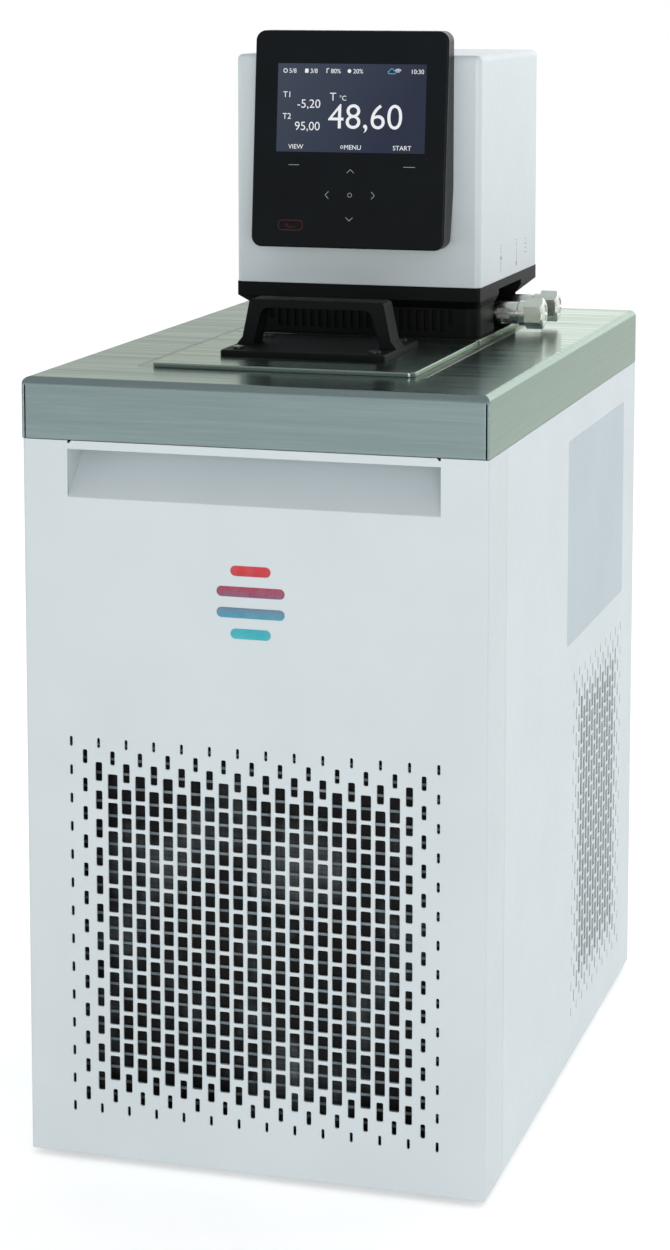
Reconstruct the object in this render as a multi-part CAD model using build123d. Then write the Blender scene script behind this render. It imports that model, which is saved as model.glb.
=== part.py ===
from build123d import *
import math
import os

# Refrigerated circulator: a cooling bath in a sheet-metal tower, with a pump and heater head on top.
# Millimetres. +Z is up, -Y is the front with the grille, and the origin is on the ground under the
# middle of the whole outline.

# Overall size
WIDTH = 300.0
DEPTH = 465.0
FOOT_HEIGHT = 4.0
PANEL_HEIGHT = 463.0
SKIRT = 38.5
TAP_REACH = 20.0
SHEET = 1.2
DECK_SHEET = 1.5
BODY_GAP = 0.3
RUNNING = 0.05
SEAM = 0.4
FLANGE = 16.0
TONGUE_DOWN = 17.0
TONGUE_UP = 18.0
TONGUE_INSET = 20.0
PAN_WALL = 24.0
FOOT_RADIUS = 15.0
FOOT_INSET_X = 32.0
FOOT_INSET_Y = 34.0

FRONT = -(DEPTH + TAP_REACH) / 2
REAR = FRONT + DEPTH
SIDE = WIDTH / 2
FLOOR = FOOT_HEIGHT
PANEL_TOP = FLOOR + PANEL_HEIGHT
DECK_TOP = PANEL_TOP + SKIRT

# Front panel and its finger recess
PANEL_RETURN = 47.0
PANEL_BEND = 2.0
RECESS_WIDTH = 240.0
RECESS_HEIGHT = 30.2
RECESS_LIP = 5.4
RECESS_DEPTH = 33.0

# Perforated air grilles: slots on a half-staggered grid, smaller towards the border
SLOT_PITCH = 9.2
SLOT_SIZES = [(2.0, 6.5), (3.1, 9.0), (4.5, 12.2), (6.6, 16.1)]
GRILLE_BOTTOM = 31.6
GRILLE_ROWS = 27
FRONT_COLUMNS = 27
SIDE_COLUMNS = 19
SIDE_GRILLE_MIDDLE = 337.0
FRONT_SKIPPED_RINGS = 1
SIDE_SKIPPED_RINGS = 2
REAR_SLOTS = 9
REAR_SLOT_SIZE = (180.0, 6.0)
REAR_SLOT_BOTTOM = 240.0
REAR_SLOT_PITCH = 16.0

# Bath opening in the deck and the tank that fills it
OPENING_LEFT = -98.5
OPENING_RIGHT = 94.0
OPENING_FRONT = 62.0
OPENING_REAR = 53.0
OPENING_RADIUS = 8.0
TANK_RIM = 13.0
TANK_DEPTH = 160.0
TANK_RADIUS = 25.0
TANK_FLOOR_RADIUS = 10.0
TANK_SHEET = 1.2
TANK_LEDGE = 6.0
FOAM = 22.0

# Lid and its handle
LID_WIDTH = 174.0
LID_FRONT = 62.5
LID_LENGTH = 168.0
LID_HEIGHT = 3.2
LID_SHEET = 1.0
LID_RADIUS = 5.0
FOOT_WIDTH = 111.0
FOOT_LENGTH = 89.0
FOOT_FRONT = 104.0
FOOT_PLATE = 4.0
ARCH_TOP_WIDTH = 91.0
ARCH_BASE_WIDTH = 104.0
ARCH_HEIGHT = 34.0
ARCH_DEPTH = 20.0
ARCH_FRONT = 138.0
ARCH_BAR = 5.5
ARCH_LEG = 8.5
FLARE = 2.5
HANDLE_SCREWS = [(46.0, 116.0), (46.0, 181.0)]
SCREW_RADIUS = 2.0
SCREW_HEAD = 3.8

# Bridge over the rear of the bath
COVER_FRONT = 233.0
COVER_LENGTH = 175.0
COVER_PLATE = 3.0
BRIDGE_WIDTH = 166.0
BRIDGE_FRONT = 244.0
BRIDGE_LENGTH = 120.5
BRIDGE_TOP = 22.5
BRIDGE_RADIUS = 9.0
BRIDGE_WALL = 4.0
RIB_COUNT = 23
RIB_PITCH = 5.79
RIB_SLOT = 2.9
RIB_DEPTH = 2.5
NICHE_START = 289.7
NICHE_LENGTH = 68.8
NICHE_DEPTH = 21.0

# Head with the pump motor
HEAD_WIDTH = 172.7
HEAD_FRONT = 234.5
HEAD_LENGTH = 173.5
TRAY_BOTTOM = 28.5
TRAY_RIM = 9.5
HEAD_HEIGHT = 156.5
HEAD_RADIUS = 4.0
HEAD_WALL = 3.0

# Display unit on the front of the head
DISPLAY_WIDTH = 135.2
DISPLAY_BOTTOM = 65.0
DISPLAY_TOP = 211.0
DISPLAY_LOW_REACH = 26.5
DISPLAY_HIGH_REACH = 13.0
DISPLAY_HEEL = 9.5
DISPLAY_HEEL_HEIGHT = 106.0
DISPLAY_RADIUS = 7.0
DISPLAY_EDGE = 1.2
GLASS = 3.0
SCREEN_LEFT = -51.4
SCREEN_RIGHT = 52.7
SCREEN_BOTTOM = 129.4
SCREEN_TOP = 188.9

# Hose connections
PORT_HEIGHT = 14.9
PORT_PLACES = [297.0, 344.0]
PORT_START = 62.0
PORT_BODY_START = 84.9
PORT_BODY_END = 99.2
PORT_BODY_RADIUS = 7.8
PORT_THREAD_RADIUS = 7.5
PORT_BORE = 4.0
PORT_END = 111.5
NUT_START = 100.2
NUT_HEX_START = 104.7
NUT_HEX_END = 115.0
NUT_END = 117.5
NUT_COLLAR_RADIUS = 8.9
NUT_FLATS = 19.0
NUT_NOSE_RADIUS = 6.0
PIPE_RADIUS = 4.0
PIPE_BEND = 14.0

# Pump, heater and probes under the bridge
PUMP_PLACE = 300.0
COLUMN_RADIUS = 13.0
COLUMN_BORE = 10.0
PUMP_RADIUS = 32.0
PUMP_LIFT = 6.5
PUMP_HEIGHT = 36.0
PUMP_WALL = 4.0
IMPELLER_RADIUS = 22.0
SHAFT_RADIUS = 4.0
MOTOR_RADIUS = 34.0
MOTOR_HEIGHT = 78.0
MOTOR_LIFT = 12.0
MOTOR_BEVEL = 5.0
MOTOR_FLANGE = 38.0
MOTOR_FLANGE_SHEET = 4.0
MOTOR_POST = 4.0
BOARD_X = -76.0
BOARD_PLACE = (262.0, 352.0)
BOARD_HEIGHT = 112.0
BOARD_SHEET = 1.6
TRAY_SHEET = 2.0
TRAY_WALL = 5.0
TRAY_FRONT_WALL = 16.0
TRAY_REAR_WALL = 50.0
COLLAR = 3.0
HEATER_RADIUS = 4.0
HEATER_BEND = 20.0
HEATER_ENDS = (-36.0, 36.0)
HEATER_PLACE = 352.0
COIL_RADIUS = 5.0
COIL_BEND = 13.0
COIL_TURNS = 1
COIL_RISE = 16.0
COIL_LEVEL = 22.0
COIL_WALL_GAP = 3.0
COIL_END_INSET = 45.0
PROBE_RADIUS = 3.0
PROBE_PLACE = (-40.0, 275.0)
STEM_RADIUS = 4.0
STEM_LOW = 40.0
FLOAT_PLACE = (-55.0, 320.0)
FLOAT_RADIUS = 13.0
FLOAT_HEIGHT = 22.0

# Condenser, fan and compressor in the tower
CONDENSER_FRONT = 14.0
CONDENSER_DEPTH = 16.0
HEADER_HALF = 8.0
HEADER_GAP = 11.0
FLAT_TUBE = 1.8
FAN_PLACE = 150.0
FAN_MARGIN = 24.0
FAN_TIP_GAP = 7.0
FAN_BLADES = 5
FAN_HUB = 26.0
FAN_DEPTH = 20.0
FAN_PITCH = 26.0
FAN_MOTOR_RADIUS = 30.0
FAN_MOTOR_LENGTH = 46.0
FAN_MOTOR_BEVEL = 5.0
SHROUD_RING = 24.0
BRACKET_DEPTH = 32.0
BRACKET_HALF = 14.0
BRACKET_SHEET = 2.0
BLADE_WIDTH = 44.0
BLADE_SHEET = 2.0
COMPRESSOR_X = 30.0
COMPRESSOR_Y = 215.0
COMPRESSOR_RADIUS = 62.0
COMPRESSOR_HEIGHT = 165.0
COMPRESSOR_BEVEL = 20.0
COMPRESSOR_SEAM = 90.0
COMPRESSOR_RIM = 4.0
PLATE_HALF = (78.0, 50.0)
PLATE_SHEET = 4.0
PLATE_RADIUS = 10.0
TERMINAL = (24.0, 16.0)
TERMINAL_LOW = 45.0
TERMINAL_HIGH = 85.0
GROMMET = 12.0
GROMMET_RADIUS = 9.0
GROMMET_INSET = 12.0
LINE_RADIUS = 4.0
LINE_BEND = 18.0
STUB_RADIUS = 6.0
STUB_X = -36.0
SUCTION_X = -62.0
SUCTION_OFFSET = 20.0
SUCTION_HEIGHT = 60.0
DRIER_RADIUS = 11.0
DRIER_LENGTH = 95.0
DRIER_PLACE = 100.0

# Rear panel
INLET_INSET = 50.0
INLET_HEIGHT = 70.0
SWITCH_INSET = 90.0
BOX_WIDTH = 58.9
BOX_PLACE = 330.0
BOX_REAR = 40.0
BOX_HEIGHT = 200.0
ROCKER_HALF = 10.4
ROCKER_TILT = 8.0
DRAIN_PLACE = 40.0
DRAIN_BEND = 30.0
TAP_X = 60.0
TAP_HEIGHT = 42.0
TAP_RADIUS = 7.0
TAP_BORE = 3.0
LEVER_LENGTH = 15.0

TANK_LEFT = OPENING_LEFT + TANK_RIM
TANK_RIGHT = OPENING_RIGHT - TANK_RIM
TANK_FRONT = FRONT + OPENING_FRONT + TANK_RIM
TANK_REAR = REAR - OPENING_REAR - TANK_RIM
TANK_FLOOR = DECK_TOP - TANK_DEPTH
PUMP_BOTTOM = TANK_FLOOR + PUMP_LIFT
PUMP_Y = FRONT + PUMP_PLACE
PORT_Z = DECK_TOP + PORT_HEIGHT
FAN_Z = FLOOR + FAN_PLACE
PAN_FLOOR = FLOOR + DECK_SHEET
TRAY_Z = DECK_TOP + TRAY_BOTTOM
HEAD_Z = TRAY_Z + TRAY_RIM
COVER_TOP = DECK_TOP + COVER_PLATE
DRAIN_Y = TANK_REAR - DRAIN_PLACE
HEATER_Y = FRONT + HEATER_PLACE
HEADER_PLACE = SIDE - HEADER_GAP - HEADER_HALF
SHROUD_HALF = HEADER_PLACE - HEADER_HALF - 1.0
FAN_RADIUS = SHROUD_HALF - FAN_MARGIN
CONDENSER_Y = FRONT + CONDENSER_FRONT + CONDENSER_DEPTH / 2
CONDENSER_TOP = FLOOR + GRILLE_BOTTOM + GRILLE_ROWS * SLOT_PITCH
SHROUD_Y = CONDENSER_Y + HEADER_HALF
DRIER_Z = PAN_FLOOR + DRIER_RADIUS
INLET_X = INLET_INSET - SIDE
SWITCH_X = SWITCH_INSET - SIDE


def block(x, y, z):
    """A box between a low and a high value on each axis."""
    size = (x[1] - x[0], y[1] - y[0], z[1] - z[0])
    return Pos((x[0] + x[1]) / 2, (y[0] + y[1]) / 2, (z[0] + z[1]) / 2) * Box(*size)


def upright(radius, x, y, z):
    """A round bar along Z."""
    return Pos(x, y, (z[0] + z[1]) / 2) * Cylinder(radius, z[1] - z[0])


def lengthwise(radius, x, y, z):
    """A round bar along Y."""
    return Pos(x, (y[0] + y[1]) / 2, z) * Rot(90, 0, 0) * Cylinder(radius, y[1] - y[0])


def crosswise(radius, x, y, z):
    """A round bar along X."""
    return Pos((x[0] + x[1]) / 2, y, z) * Rot(0, 90, 0) * Cylinder(radius, x[1] - x[0])


def rounded_block(x, y, z, radius):
    """A box whose four upright edges are rounded."""
    outline = RectangleRounded(x[1] - x[0], y[1] - y[0], radius)
    return Pos((x[0] + x[1]) / 2, (y[0] + y[1]) / 2, z[0]) * extrude(outline, z[1] - z[0])


def bent_tube(points, bend, radius, bore=0.0):
    """A round tube along straight runs joined by arcs."""
    if len(points) > 2:
        path = FilletPolyline(*points, radius=bend)
    else:
        path = Line(*points)
    section = Circle(radius)
    if bore:
        section = section - Circle(bore)
    return sweep(Plane(origin=path @ 0, z_dir=path % 0) * section, path=path)


def slot_centres(columns, skipped):
    """Grid places and slot sizes, ring by ring from the border inwards."""
    centres = []
    for column in range(columns):
        for row in range(GRILLE_ROWS):
            ring = min(column, columns - 1 - column, row, GRILLE_ROWS - 1 - row)
            if (column + row) % 2 == 0 and ring >= skipped:
                across = (column - (columns - 1) / 2) * SLOT_PITCH
                up = GRILLE_BOTTOM + row * SLOT_PITCH
                centres.append((across, up, SLOT_SIZES[min(ring, 3)]))
    return centres


def rectangle_wire(across, up, width, height):
    """A closed outline, counted in the plane of a sheet."""
    return Pos(across, up) * Wire.make_rect(width, height)


def perforated_sheet(outline, holes):
    """A sheet drawn flat in the XY plane: an outline with rectangular holes."""
    inner = [rectangle_wire(across, up, size[0], size[1]) for across, up, size in holes]
    return extrude(Face(outline, inner), SHEET, dir=(0, 0, 1))


def upright_sheet(width, height, holes):
    """A plain rectangular sheet standing on its lower edge, facing the front, centred across."""
    return Rot(90, 0, 0) * perforated_sheet(rectangle_wire(0, height / 2, width, height), holes)


def front_outline(half_width, height):
    """Outline of the flat front with the relief notches at the ends of the hemmed lip."""
    half = RECESS_WIDTH / 2
    right = [(half_width, 0), (half_width, height), (half, height), (half, height - 1.6)]
    right += [(half - 1.6, height - 1.6), (half - 1.6, height - 0.6), (half - 2.4, height - 0.6)]
    right += [(half - 2.4, height)]
    left = [(-x, y) for x, y in reversed(right)]
    return Polyline(*right, *left, close=True).wire()


def front_return(height):
    """Rounded corner and side return of the front panel, on the right."""
    bend = PANEL_BEND
    middle = (SIDE - bend, FRONT + bend)
    end = FRONT + PANEL_RETURN
    outline = [
        CenterArc(middle, bend, -90, 90),
        Line((SIDE, middle[1]), (SIDE, end)),
        Line((SIDE, end), (SIDE - SHEET, end)),
        Line((SIDE - SHEET, end), (SIDE - SHEET, middle[1])),
        CenterArc(middle, bend - SHEET, -90, 90),
        Line((middle[0], FRONT + SHEET), (middle[0], FRONT)),
    ]
    return Pos(0, 0, FLOOR) * extrude(make_face(outline), height)


def front_panel():
    """Folded front with side returns, the grille and a sloping finger recess under a hemmed lip."""
    height = PANEL_HEIGHT - SEAM
    lip_low = height - RECESS_LIP
    window = (0.0, lip_low - RECESS_HEIGHT / 2, (RECESS_WIDTH, RECESS_HEIGHT))
    holes = slot_centres(FRONT_COLUMNS, FRONT_SKIPPED_RINGS) + [window]
    flat = Rot(90, 0, 0) * perforated_sheet(front_outline(SIDE - PANEL_BEND, height), holes)
    flat = Pos(0, FRONT + SHEET, FLOOR) * flat
    half = RECESS_WIDTH / 2
    high = FLOOR + lip_low
    low = high - RECESS_HEIGHT
    back = FRONT + RECESS_DEPTH
    outside = [(FRONT + SHEET, low - SHEET), (back + SHEET, high), (back + SHEET, high + SHEET)]
    outside += [(FRONT + SHEET, high + SHEET)]
    inside = [(FRONT - 1, low), (FRONT, low), (back, high), (FRONT - 1, high)]
    pocket = across_profile(outside, half + SHEET) - across_profile(inside, half)
    side_return = front_return(height)
    return flat + [pocket, side_return, mirror(side_return, about=Plane.YZ)]


def across_profile(points, half_width):
    """A profile given as (y, z) points, extruded evenly to both sides along X."""
    outline = Polyline(*[(0, y, z) for y, z in points], close=True)
    return extrude(make_face(outline), half_width, dir=(1, 0, 0), both=True)


def side_panel(side, holes):
    """Flat side with a folded flange at the rear and a joggled tongue behind the deck's skirt."""
    height = PANEL_HEIGHT - SEAM
    length = DEPTH - PANEL_RETURN - SEAM
    middle = FRONT + PANEL_RETURN + SEAM + length / 2
    offset = FRONT + SIDE_GRILLE_MIDDLE - middle
    shifted = [(across + offset, up, size) for across, up, size in holes]
    sheet = Rot(0, 0, 90) * upright_sheet(length, height, shifted)
    sheet = Pos(SIDE - SHEET if side > 0 else -SIDE, middle, FLOOR) * sheet
    flange = sorted((side * (SIDE - SHEET), side * (SIDE - FLANGE)))
    panel = sheet + block(flange, (REAR - 2 * SHEET, REAR - SHEET), (FLOOR + 2, FLOOR + height - 4))
    inner = side * (SIDE - SHEET - DECK_SHEET)
    y = (FRONT + PANEL_RETURN + TONGUE_INSET, REAR - TONGUE_INSET)
    panel += block(sorted((inner, side * (SIDE - SHEET))), y, (PANEL_TOP - TONGUE_DOWN, FLOOR + height))
    return panel + block(sorted((inner, side * (SIDE - DECK_SHEET))), y, (FLOOR + height, PANEL_TOP + TONGUE_UP))


def rear_panel():
    """Rear sheet with air slots and cut-outs for the inlet, the switch and the drain tap."""
    height = PANEL_HEIGHT - SEAM
    width = WIDTH - 2 * (SHEET + SEAM)
    slots = [(0.0, REAR_SLOT_BOTTOM + REAR_SLOT_PITCH * row, REAR_SLOT_SIZE) for row in range(REAR_SLOTS)]
    slots.append((-INLET_X, INLET_HEIGHT, (27.6, 20.6)))
    slots.append((-SWITCH_X, INLET_HEIGHT, (19.6, 27.6)))
    sheet = Pos(0, REAR - SHEET, FLOOR) * Rot(0, 0, 180) * upright_sheet(width, height, slots)
    hole = lengthwise(TAP_RADIUS + SEAM, TAP_X, (REAR - 10, REAR + 10), FLOOR + TAP_HEIGHT)
    return sheet - hole


def base_pan():
    """Folded tray that carries the feet, the compressor and the condenser."""
    x = (-SIDE + SHEET + SEAM, SIDE - SHEET - SEAM)
    y = (FRONT + SHEET + SEAM, REAR - 2 * SHEET)
    inner_x = (x[0] + DECK_SHEET, x[1] - DECK_SHEET)
    inner_y = (y[0] + DECK_SHEET, y[1] - DECK_SHEET)
    return block(x, y, (FLOOR, FLOOR + PAN_WALL)) - block(inner_x, inner_y, (PAN_FLOOR, FLOOR + PAN_WALL + 1))


def foot(x, y):
    """Turned rubber foot."""
    return chamfer(upright(FOOT_RADIUS, x, y, (0, FLOOR)).edges().group_by(Axis.Z)[0], 1.2)


def deck():
    """Stainless cover with folded skirts, open at the corners, and the bath opening."""
    outside = block((-SIDE, SIDE), (FRONT, REAR), (PANEL_TOP, DECK_TOP))
    outside = fillet(outside.edges().group_by(Axis.Z)[-1], 4.5)
    wall = DECK_SHEET
    inside = block((-SIDE + wall, SIDE - wall), (FRONT + wall, REAR - wall), (PANEL_TOP - 1, DECK_TOP - wall))
    inside = fillet(inside.edges().group_by(Axis.Z)[-1], 3.0)
    sheet = outside - inside
    x = (OPENING_LEFT, OPENING_RIGHT)
    y = (FRONT + OPENING_FRONT, REAR - OPENING_REAR)
    sheet -= rounded_block(x, y, (DECK_TOP - 5, DECK_TOP + 5), OPENING_RADIUS)
    for side in (-1, 1):
        slit = sorted((side * (SIDE - wall), side * (SIDE - wall - 0.9)))
        for edge in (FRONT, REAR):
            sheet -= block(slit, (edge - wall, edge + wall), (PANEL_TOP - 1, DECK_TOP - 5))
    return sheet


def bath_tank():
    """Deep-drawn basin: its flange lies flush in the deck opening, on a ledge welded under the deck."""
    flange_x = (OPENING_LEFT + SEAM, OPENING_RIGHT - SEAM)
    flange_y = (FRONT + OPENING_FRONT + SEAM, REAR - OPENING_REAR - SEAM)
    flange = rounded_block(flange_x, flange_y, (DECK_TOP - DECK_SHEET, DECK_TOP), OPENING_RADIUS - SEAM)
    ledge_x = (OPENING_LEFT - TANK_LEDGE, OPENING_RIGHT + TANK_LEDGE)
    ledge_y = (FRONT + OPENING_FRONT - TANK_LEDGE, REAR - OPENING_REAR + TANK_LEDGE)
    flange += block(ledge_x, ledge_y, (DECK_TOP - DECK_SHEET - TANK_SHEET, DECK_TOP - DECK_SHEET))
    wall = TANK_SHEET
    shell = rounded_block(
        (TANK_LEFT - wall, TANK_RIGHT + wall),
        (TANK_FRONT - wall, TANK_REAR + wall),
        (TANK_FLOOR - wall, DECK_TOP - DECK_SHEET),
        TANK_RADIUS + wall,
    )
    shell = fillet(shell.edges().group_by(Axis.Z)[0], TANK_FLOOR_RADIUS + wall)
    hollow = rounded_block((TANK_LEFT, TANK_RIGHT), (TANK_FRONT, TANK_REAR), (TANK_FLOOR, DECK_TOP + 5), TANK_RADIUS)
    hollow = fillet(hollow.edges().group_by(Axis.Z)[0], TANK_FLOOR_RADIUS)
    drain = upright(TAP_BORE, TAP_X, DRAIN_Y, (TANK_FLOOR - 5, TANK_FLOOR + 5))
    return flange + shell - hollow - drain


def tank_insulation():
    """Foam box around the basin."""
    outer_x = (TANK_LEFT - FOAM, TANK_RIGHT + FOAM)
    outer_y = (TANK_FRONT - FOAM, TANK_REAR + FOAM)
    top = DECK_TOP - DECK_SHEET - TANK_SHEET - BODY_GAP
    foam = block(outer_x, outer_y, (TANK_FLOOR - FOAM, top))
    wall = TANK_SHEET + BODY_GAP
    foam -= rounded_block(
        (TANK_LEFT - wall, TANK_RIGHT + wall),
        (TANK_FRONT - wall, TANK_REAR + wall),
        (TANK_FLOOR - TANK_SHEET, top + 5),
        TANK_RADIUS + wall,
    )
    return foam - upright(PIPE_RADIUS + 2, TAP_X, DRAIN_Y, (TANK_FLOOR - FOAM - 5, TANK_FLOOR + 5))


def coil_ends():
    """Places where the two ends of the cooling coil pass the bridge plate."""
    margin = COIL_RADIUS + COIL_WALL_GAP
    left = TANK_LEFT + margin + COIL_END_INSET
    right = TANK_RIGHT - margin - COIL_END_INSET
    return [(left, TANK_REAR - margin), (right, TANK_REAR - margin)]


def evaporator_coil():
    """Tube wound along the walls of the basin; its two ends rise at the rear to collars on the plate."""
    margin = COIL_RADIUS + COIL_WALL_GAP
    left, right = TANK_LEFT + margin, TANK_RIGHT - margin
    front = TANK_FRONT + margin
    start, end = coil_ends()
    rear = start[1]
    level = TANK_FLOOR + COIL_LEVEL
    top = COVER_TOP + 2 * COLLAR
    points = [(start[0], rear, top), (start[0], rear, level), (left, rear, level)]
    for turn in range(COIL_TURNS):
        rise = level + turn * COIL_RISE
        points += [(left, front, rise), (right, front, rise + COIL_RISE / 2)]
        points += [(right, rear, rise + COIL_RISE / 2)]
        if turn < COIL_TURNS - 1:
            points += [(left, rear, rise + COIL_RISE)]
    points += [(end[0], rear, points[-1][2]), (end[0], rear, top)]
    coil = bent_tube(points, COIL_BEND, COIL_RADIUS)
    for x, y in coil_ends():
        coil += upright(COIL_RADIUS + 2, x, y, (COVER_TOP, COVER_TOP + COLLAR))
    return coil


def lid_plate():
    """Inverted folded tray with rounded corners."""
    half = LID_WIDTH / 2
    y = (FRONT + LID_FRONT, FRONT + LID_FRONT + LID_LENGTH)
    z = (DECK_TOP + BODY_GAP, DECK_TOP + LID_HEIGHT)
    lid = rounded_block((-half, half), y, z, LID_RADIUS)
    lid = fillet(lid.edges().group_by(Axis.Z)[-1], 0.8)
    wall = LID_SHEET
    under = (y[0] + wall, y[1] - wall)
    return lid - rounded_block((-half + wall, half - wall), under, (DECK_TOP, z[1] - wall), LID_RADIUS - wall)


def lid_handle():
    """Moulded arch with sloping legs on a wide foot plate."""
    base = DECK_TOP + LID_HEIGHT
    y = (FRONT + FOOT_FRONT, FRONT + FOOT_FRONT + FOOT_LENGTH)
    plate = rounded_block((-FOOT_WIDTH / 2, FOOT_WIDTH / 2), y, (base, base + FOOT_PLATE), 4.0)
    plate = chamfer(plate.edges().group_by(Axis.Z)[-1], 0.8)
    low = base + FOOT_PLATE / 2
    high = base + ARCH_HEIGHT
    bottom, top = ARCH_BASE_WIDTH / 2, ARCH_TOP_WIDTH / 2
    knee = base + FOOT_PLATE + 2 * FLARE
    lean = (bottom - top) / (high - low) * (knee - low)
    right = [(bottom + FLARE, low), (bottom + FLARE, base + FOOT_PLATE), (bottom - lean, knee), (top, high)]
    outline = Polyline(*right, *[(-x, z) for x, z in reversed(right)], close=True)
    arch = make_face(outline)
    arch = fillet(arch.vertices().group_by(Axis.Y)[-1], 2.5)
    inner_low = base + FOOT_PLATE
    window = Polyline(
        (-bottom + ARCH_LEG, inner_low),
        (-top + ARCH_LEG, high - ARCH_BAR),
        (top - ARCH_LEG, high - ARCH_BAR),
        (bottom - ARCH_LEG, inner_low),
        close=True,
    )
    window = make_face(window)
    window = fillet(window.vertices().group_by(Axis.Y)[-1], 6.0)
    section = Plane(origin=(0, FRONT + ARCH_FRONT + ARCH_DEPTH, 0), x_dir=(1, 0, 0), z_dir=(0, -1, 0)) * (arch - window)
    handle = plate + extrude(section, ARCH_DEPTH)
    for side in (-1, 1):
        for place in HANDLE_SCREWS:
            handle -= upright(SCREW_RADIUS + 0.2, side * place[0], FRONT + place[1], (base - 1, base + 10))
    return handle


def handle_screws():
    """Pan-head screws through the foot plate."""
    base = DECK_TOP + LID_HEIGHT
    screws = []
    for side in (-1, 1):
        for place in HANDLE_SCREWS:
            x, y = side * place[0], FRONT + place[1]
            shank = upright(SCREW_RADIUS, x, y, (base, base + FOOT_PLATE))
            head = upright(SCREW_HEAD, x, y, (base + FOOT_PLATE, base + FOOT_PLATE + 1.6))
            screws.append(shank + head)
    return Compound(screws)


def bridge_plate():
    """Plate that closes the rear of the bath and carries the pump, with holes for what hangs down."""
    half = LID_WIDTH / 2
    y = (FRONT + COVER_FRONT, FRONT + COVER_FRONT + COVER_LENGTH)
    plate = rounded_block((-half, half), y, (DECK_TOP, COVER_TOP), 3.0)
    plate = chamfer(plate.edges().group_by(Axis.Z)[-1], 0.6)
    holes = [(COLUMN_RADIUS, 0, PUMP_Y)]
    holes += [(PIPE_RADIUS, PORT_START - PIPE_BEND, FRONT + place) for place in PORT_PLACES]
    holes += [(HEATER_RADIUS, x, HEATER_Y) for x in HEATER_ENDS]
    holes += [(COIL_RADIUS, x, y) for x, y in coil_ends()]
    holes.append((PROBE_RADIUS, PROBE_PLACE[0], FRONT + PROBE_PLACE[1]))
    holes.append((STEM_RADIUS, FLOAT_PLACE[0], FRONT + FLOAT_PLACE[1]))
    for radius, x, y in holes:
        plate -= upright(radius + SEAM, x, y, (DECK_TOP - 1, COVER_TOP + 1))
    return plate


def bridge_body():
    """Hollow black foot of the head, with upright cooling slots and a niche for the hose ports."""
    y = (FRONT + BRIDGE_FRONT, FRONT + BRIDGE_FRONT + BRIDGE_LENGTH)
    top = DECK_TOP + BRIDGE_TOP
    half = BRIDGE_WIDTH / 2
    body = rounded_block((-half, half), y, (COVER_TOP, top), BRIDGE_RADIUS)
    wall = BRIDGE_WALL
    niche = block(
        (half - NICHE_DEPTH, half + 5),
        (FRONT + NICHE_START, FRONT + NICHE_START + NICHE_LENGTH),
        (COVER_TOP - 1, top + 1),
    )
    hollow = rounded_block(
        (-half + wall, half - wall), (y[0] + wall, y[1] - wall), (COVER_TOP - 1, top + 1), BRIDGE_RADIUS - wall
    )
    hollow -= block(
        (half - NICHE_DEPTH - wall, half + 5),
        (FRONT + NICHE_START - wall, FRONT + NICHE_START + NICHE_LENGTH + wall),
        (COVER_TOP - 2, top + 2),
    )
    body = body - hollow - niche
    for index in range(RIB_COUNT):
        x = (index - (RIB_COUNT - 1) / 2) * RIB_PITCH
        low = COVER_TOP + (9.0 if index in (0, RIB_COUNT - 1) else 4.0)
        body -= block((x - RIB_SLOT / 2, x + RIB_SLOT / 2), (y[0] - 1, y[0] + RIB_DEPTH), (low, top - 1.5))
    for place in PORT_PLACES:
        body -= crosswise(PIPE_RADIUS + SEAM, (0, half), FRONT + place, PORT_Z)
    return body


def head_tray():
    """Black base of the head: a rim with a tapered underside, notched above the hose ports."""
    low = DECK_TOP + BRIDGE_TOP
    rear = HEAD_FRONT + HEAD_LENGTH
    bottom = Pos(0, FRONT + BRIDGE_FRONT + BRIDGE_LENGTH / 2, low) * RectangleRounded(
        BRIDGE_WIDTH, BRIDGE_LENGTH, BRIDGE_RADIUS
    )
    middle = Pos(0, FRONT + (HEAD_FRONT + rear) / 2, TRAY_Z) * RectangleRounded(HEAD_WIDTH, HEAD_LENGTH, 2.0)
    taper = loft([bottom.face(), middle.face()])
    tray = taper + extrude(middle, TRAY_RIM)
    tray -= block(
        (-HEAD_WIDTH / 2 + TRAY_WALL, HEAD_WIDTH / 2 - TRAY_WALL - NICHE_DEPTH),
        (FRONT + HEAD_FRONT + TRAY_FRONT_WALL, FRONT + rear - TRAY_REAR_WALL),
        (TRAY_Z + TRAY_SHEET, HEAD_Z + 1),
    )
    tray -= block(
        (HEAD_WIDTH / 2 - NICHE_DEPTH, HEAD_WIDTH / 2 + 5),
        (FRONT + NICHE_START, FRONT + NICHE_START + NICHE_LENGTH),
        (low - 1, TRAY_Z + 3.5),
    )
    return tray - upright(SHAFT_RADIUS + 3, 0, PUMP_Y, (low - 1, HEAD_Z + 1))


def head_housing():
    """White sheet cover over the motor, open below."""
    half = HEAD_WIDTH / 2
    y = (FRONT + HEAD_FRONT, FRONT + HEAD_FRONT + HEAD_LENGTH)
    cover = block((-half, half), y, (HEAD_Z, HEAD_Z + HEAD_HEIGHT))
    cover = fillet(cover.edges().filter_by(Axis.Z) + cover.edges().group_by(Axis.Z)[-1], HEAD_RADIUS)
    wall = HEAD_WALL
    cover -= block((-half + wall, half - wall), (y[0] + wall, y[1] - wall), (HEAD_Z - 1, HEAD_Z + HEAD_HEIGHT - wall))
    for row in range(7):
        z = HEAD_Z + 30 + 9 * row
        cover -= block((-40, 40), (y[1] - 10, y[1] + 1), (z, z + 3))
    return cover


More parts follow.
